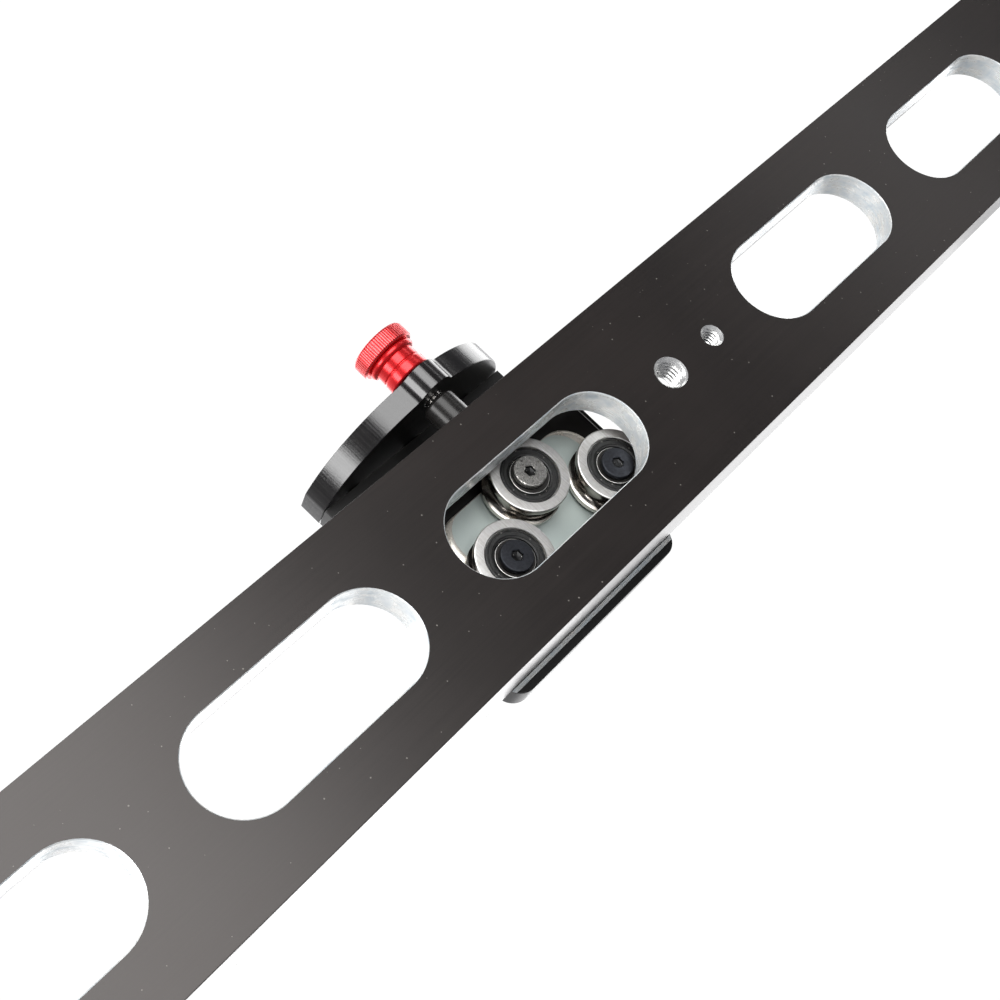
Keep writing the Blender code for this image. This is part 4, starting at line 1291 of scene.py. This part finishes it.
@dataclass
class Brake:
    """The apron on the plate's edge and the knob, spindle, plunger and pad that it carries."""

    x: float = -0.059
    inner_y: float = -0.0428
    thickness: float = 0.0075
    top: float = 0.050
    half_length: float = 0.0376
    arc_radius: float = 0.0392
    arc_above_top: float = 0.004
    nub_radius: float = 0.0062
    nub_below: float = 0.0042
    fillet: float = 0.005
    height: float = 0.0197
    knob_y: float = -0.0511
    cap: Point = (0.009, 0.0051)
    collar: Point = (0.00785, 0.0023)
    neck: Point = (0.0066, 0.0036)
    base: Point = (0.0069, 0.0030)
    # The real knurl has about 90 teeth; it is drawn coarser, because finer teeth don't show
    teeth: int = 72
    knurl_depth: float = 0.00010
    screw_z: float = 0.0459
    screw_spacing: float = 0.024
    screw_grip: float = 0.007
    plunger_radius: float = 0.0052
    plunger_back_y: float = -0.0412
    plunger_face_y: float = -0.0326
    pad_face_y: float = -0.0308
    spindle: Thread = Thread(0.003, 0.001)
    spindle_in_plunger: float = 0.0042
    spindle_in_knob: float = 0.008
    apron_ease: float = 0.00025

    def apron_outline(self) -> Outline:
        """Draw the apron: a disc cut off at the plate, with a nub for the brake.

        Returns:
            The outline in X and Z, counter-clockwise.
        """
        centre = self.top + self.arc_above_top
        nub_z = centre - self.arc_radius - self.nub_below + self.nub_radius
        reach_arc = self.arc_radius + self.fillet
        reach_nub = self.nub_radius + self.fillet
        spread = centre - nub_z
        drop = (spread ** 2 + reach_arc ** 2 - reach_nub ** 2) / (2 * spread)
        fillet_z = centre - drop
        fillet_x = math.sqrt(reach_arc ** 2 - drop ** 2)
        end = -math.acos(self.half_length / self.arc_radius)
        meet_arc = math.atan2(fillet_z - centre, fillet_x)
        meet_nub = math.atan2(fillet_z - nub_z, fillet_x)
        right = arc((0, centre), self.arc_radius, end, meet_arc, 48)
        right += arc((fillet_x, fillet_z), self.fillet, meet_arc + math.pi, meet_nub + math.pi,
                     12)[1:]
        right += arc((0, nub_z), self.nub_radius, meet_nub, -QUARTER_TURN, 16)[1:]
        left = [(-x, z) for x, z in reversed(right[:-1])]
        outline = [(self.half_length, self.top)] + right + left + [(-self.half_length, self.top)]
        return list(reversed(outline))

    def knob(self) -> bpy.types.Mesh:
        """Turn the knob from its outer face down: knurled cap, collar, neck and base.

        Returns:
            The mesh, with the knurl's crests in the second material: painted highlights.
        """
        base = self.base[1]
        neck = base + self.neck[1]
        collar = neck + self.collar[1]
        top = collar + self.cap[1]
        outer, edge = self.cap[0], 0.8 * MM
        stations = rings([(0, top - 0.25 * MM), (2.6 * MM, top - 0.25 * MM), (2.9 * MM, top),
                          (outer - edge, top), (outer - edge * 0.55, top - edge * 0.2)])
        for height in (top - edge, collar + 0.5 * MM):
            stations.append(Ring(outer, height, Section.KNURL, self.teeth, self.knurl_depth))
        stations += rings([(outer - edge * 0.5, collar + 0.15 * MM), (outer - edge * 0.7, collar)])
        bead = self.collar[1] / 2
        stations += rings(arc((self.collar[0] - bead, neck + bead), bead, QUARTER_TURN,
                              -QUARTER_TURN, 10))
        lower = [(self.neck[0], neck), (self.neck[0], base + 0.9 * MM),
                 (self.neck[0] - 0.25 * MM, base + 0.75 * MM),
                 (self.neck[0] - 0.25 * MM, base + 0.45 * MM), (self.neck[0], base + 0.3 * MM),
                 (self.neck[0], base), (self.base[0], base), (self.base[0], 0.4 * MM),
                 (self.base[0] - 0.4 * MM, 0), (0, 0)]
        stations += rings(eased(lower, 0.15 * MM, closed=False))
        steps = self.teeth * 4
        mesh = turned("brake_knob", stations, steps)
        knurled = range(4, 7)
        # The crest flats take the paler red: a painted highlight on each crest
        crests = [int(i // steps in knurled and i % 4 == 0) for i in range(len(mesh.polygons))]
        mesh.polygons.foreach_set("material_index", crests)
        return mesh

    def build(self) -> None:
        """Build and place the apron, its screws and the brake."""
        middle = self.inner_y - self.thickness / 2
        half = self.thickness / 2
        apron = slab("brake_apron", self.apron_outline(), -half, half, self.apron_ease)
        edges = [int(len(face.vertices) == 4) for face in apron.polygons]
        apron.polygons.foreach_set("material_index", edges)
        bore, past = self.spindle.radius + TOUCH_GAP, self.thickness
        drilled = rings([(0, past), (bore, past), (bore, -past), (0, -past)])
        drill = Cutter(turned("spindle_bore", drilled, 48), Finishes.TAPPED_ALUMINIUM,
                       (self.x, middle, self.height), Facing.AGAINST_Y)
        Piece("brake_apron", apron, (Finishes.CARRIAGE_BLACK, Finishes.APRON_BLACK), Body.CARRIAGE,
              Slot.BLACK, (self.x, middle, 0), Facing.AGAINST_Y, (drill,)).place()
        face_y = self.inner_y - self.thickness - TOUCH_GAP
        for i in range(3):
            screw = SMALL_SCREW.mesh("apron_screw", self.thickness + self.screw_grip, 48)
            Piece(f"apron_screw_{i + 1}", screw, SMALL_SCREW.finishes, Body.CARRIAGE, Slot.DARK,
                  (self.x + (i - 1) * self.screw_spacing, face_y, self.screw_z),
                  Facing.AGAINST_Y).place()
        Piece("brake_knob", self.knob(), (Finishes.RED, Finishes.RED_CREST_HIGHLIGHT), Body.KNOB, Slot.RED,
              (self.x, self.knob_y, self.height), Facing.AGAINST_Y).place()
        start = self.plunger_back_y + self.spindle_in_plunger
        reach = start - self.knob_y + self.spindle_in_knob
        spindle = self.spindle.mesh("brake_spindle", 0.0, reach)
        Piece("brake_spindle", spindle, (Finishes.ROD_STEEL,), Body.KNOB, Slot.BRIGHT,
              (self.x, start, self.height), Facing.AGAINST_Y).place()
        length = self.plunger_face_y - self.plunger_back_y
        radius, round_off = self.plunger_radius, 1.2 * MM
        mouth, deep = 3.4 * MM, length - 4.4 * MM
        profile = [(0, deep), (mouth, deep), (mouth, length - 0.1 * MM), (mouth + 0.3 * MM, length)]
        profile += arc((radius - round_off, length - round_off), round_off, QUARTER_TURN, 0, 8)
        profile += [(radius, 0.4 * MM), (radius - 0.4 * MM, 0), (0, 0)]
        plunger = turned("brake_plunger", rings(profile), 96)
        Piece("brake_plunger", plunger, (Finishes.TURNED_BLACK,), Body.PLUNGER, Slot.BRAKE_BLACK,
              (self.x, self.plunger_face_y, self.height), Facing.AGAINST_Y).place()
        outer, inner, thick = 4 * MM, 1.2 * MM, 1.5 * MM
        pad = eased([(outer, thick), (outer, 0), (inner, 0), (inner, thick)], 0.2 * MM)
        Piece("brake_pad", turned("brake_pad", rings(pad), 64, True), (Finishes.NYLON,),
              Body.PLUNGER, Slot.NYLON, (self.x, self.pad_face_y, self.height),
              Facing.AGAINST_Y).place()


# ---------------------------------------------------------------- the studio


@dataclass(frozen=True)
class SoftBox:
    """A soft light: the way to it from the slider, how far, its size and its brightness.

    The width is level where it can be, and the height is across it. Brightness is in units of the
    white surround.
    """

    name: str
    way: Place
    distance: float
    size: Point
    brightness: float
    target: Place = (-0.06, -0.04, 0.02)

    def hang(self) -> None:
        """Put the light in the scene, out of the camera's sight."""
        lamp = bpy.data.lights.new(self.name, "AREA")
        lamp.shape = "RECTANGLE"
        lamp.size, lamp.size_y = self.size
        lamp.energy = self.brightness * math.pi * self.size[0] * self.size[1]
        light = bpy.data.objects.new(self.name, lamp)
        towards = Vector(self.way).normalized()
        light.location = Vector(self.target) + towards * self.distance
        side = Vector((0, 1, 0))
        across = side.cross(towards).normalized()
        turn = Matrix((towards.cross(across).normalized() * -1, across, towards)).transposed()
        if turn.determinant() < 0:
            turn.col[0] *= -1
        light.rotation_euler = turn.to_euler()
        light.visible_camera = False
        bpy.context.scene.collection.objects.link(light)


@dataclass
class Studio:
    """A white studio: pale floor, bright surround, soft lights and the camera."""

    floor_size: float = 6.0
    floor_fade: Point = (0.45, 1.1)
    surround: float = 1.0
    surround_tone: str = "#f6f6f8"
    shade_tone: str = "#54555a"
    tone_rise: Point = (-0.1, 0.3)
    tone_side: Point = (-0.97, -0.7)
    seen_white: float = 1.05
    camera_place: Place = (-0.28886, 0.05034, -0.34335)
    camera_aim: Place = (-0.06835, -0.00847, 0.015)
    camera_roll: float = -149.0486
    lens: float = 56.22
    shift: Point = (-0.00313, -0.00708)
    boxes: tuple[SoftBox, ...] = (
        SoftBox("under_box", (-0.10, -0.2, -0.97), 1.1, (1.3, 0.8), 4.6),
        SoftBox("left_strip", (-0.95, -0.2, -0.27), 1.1, (1.1, 0.46), 6.6),
        SoftBox("far_box", (0.45, 0.3, 0.86), 1.3, (1.1, 1.3), 1.2),
        SoftBox("right_box", (0.95, -0.1, 0.28), 1.3, (1.4, 0.75), 3.0),
        SoftBox("right_strip", (0.8, -0.2, -0.58), 1.2, (1.2, 0.1), 2.5),
        SoftBox("overhead_box", (0.1, -0.3, 1.0), 1.4, (1.6, 1.4), 2.2),
    )

    def floor(self) -> None:
        """A matt white floor just under the rail, seen from above only."""
        material = bpy.data.materials.new("paper_sweep_matt_white")
        material.use_nodes = True
        tree = material.node_tree
        shader = tree.nodes["Principled BSDF"]
        shader.inputs["Roughness"].default_value = 0.9
        place = add(tree, "TexCoord").outputs["Object"]
        grain = add(tree, "TexNoise", {"Scale": 400.0, "Detail": 4.0}, {"Vector": place})
        tone = add(tree, "Mix", {"data_type": "RGBA", 6: linear("#efefef"), 7: linear("#f4f4f3")},
                   {0: grain.outputs["Fac"]})
        tree.links.new(tone.outputs[2], shader.inputs["Base Color"])
        behind = add(tree, "NewGeometry")
        reach = add(tree, "VectorMath", {"operation": "LENGTH"}, {0: place})
        near, far = self.floor_fade
        fade = add(tree, "MapRange", {"From Min": near, "From Max": far},
                   {0: reach.outputs["Value"]})
        hidden = add(tree, "Math", {"operation": "MAXIMUM"},
                     {0: behind.outputs["Backfacing"], 1: fade.outputs[0]})
        clear = add(tree, "BsdfTransparent")
        both = add(tree, "MixShader", links={0: hidden.outputs[0], 1: shader.outputs[0],
                                             2: clear.outputs[0]})
        tree.links.new(both.outputs[0], tree.nodes["Material Output"].inputs["Surface"])
        half = self.floor_size / 2
        mesh = bpy.data.meshes.new("floor")
        mesh.from_pydata([(-half, -half, 0), (half, -half, 0), (half, half, 0), (-half, half, 0)],
                         [], [(0, 1, 2, 3)])
        mesh.materials.append(material)
        floor = bpy.data.objects.new("floor", mesh)
        floor.location = (0, 0, -0.5 * MM)
        floor.visible_shadow = False
        floor.visible_glossy = False
        floor.visible_diffuse = False
        floor.visible_transmission = False
        bpy.context.scene.collection.objects.link(floor)

    def world(self) -> None:
        """A surround that is white to the eye and a little uneven in reflections."""
        world = bpy.data.worlds.new("studio")
        bpy.context.scene.world = world
        world.use_nodes = True
        tree = world.node_tree
        tree.nodes.clear()
        seen = add(tree, "LightPath").outputs["Is Camera Ray"]
        way = add(tree, "TexCoord").outputs["Generated"]
        parts = add(tree, "SeparateXYZ", links={0: way})
        low, high = self.tone_rise
        rise = add(tree, "MapRange", {"From Min": low, "From Max": high}, {0: parts.outputs[2]})
        low, high = self.tone_side
        side = add(tree, "MapRange", {"From Min": low, "From Max": high}, {0: parts.outputs[0]})
        slope = add(tree, "Math", {"operation": "MULTIPLY"},
                    {0: rise.outputs[0], 1: side.outputs[0]})
        tone = add(tree, "Mix", {"data_type": "RGBA", 6: linear(self.shade_tone),
                                 7: linear(self.surround_tone)}, {0: slope.outputs[0]})
        lit = add(tree, "Background", {"Strength": self.surround}, {"Color": tone.outputs[2]})
        white = add(tree, "Background", {"Color": (1, 1, 1, 1), "Strength": self.seen_white})
        both = add(tree, "MixShader", links={0: seen, 1: lit.outputs[0], 2: white.outputs[0]})
        out = add(tree, "OutputWorld")
        tree.links.new(both.outputs[0], out.inputs["Surface"])

    def camera(self) -> None:
        """The camera, below the rail and looking up at its underside."""
        data = bpy.data.cameras.new("camera")
        data.lens = self.lens
        data.sensor_width = 36.0
        data.shift_x, data.shift_y = self.shift
        data.clip_start, data.clip_end = 0.01, 20.0
        camera = bpy.data.objects.new("camera", data)
        back = (Vector(self.camera_place) - Vector(self.camera_aim)).normalized()
        right = Vector((0, 0, 1)).cross(back).normalized()
        up = back.cross(right)
        level = Matrix((right, up, back)).transposed().to_4x4()
        roll = Matrix.Rotation(math.radians(self.camera_roll), 4, "Z")
        camera.matrix_world = Matrix.Translation(self.camera_place) @ level @ roll
        bpy.context.scene.collection.objects.link(camera)
        bpy.context.scene.camera = camera

    def build(self) -> None:
        """Set up the whole studio."""
        self.floor()
        self.world()
        for box in self.boxes:
            box.hang()
        self.camera()
        bpy.context.scene.view_settings.view_transform = "Standard"
        LOG.info("studio ready with %d soft lights", len(self.boxes))


def main() -> None:
    """Build the slider and its studio in order."""
    logging.basicConfig(level=logging.INFO, format="%(name)s: %(message)s")
    Studio().build()
    Rail().build()
    Carriage().build()
    Brake().build()
    bpy.context.view_layer.update()


if __name__ == "__main__":
    main()
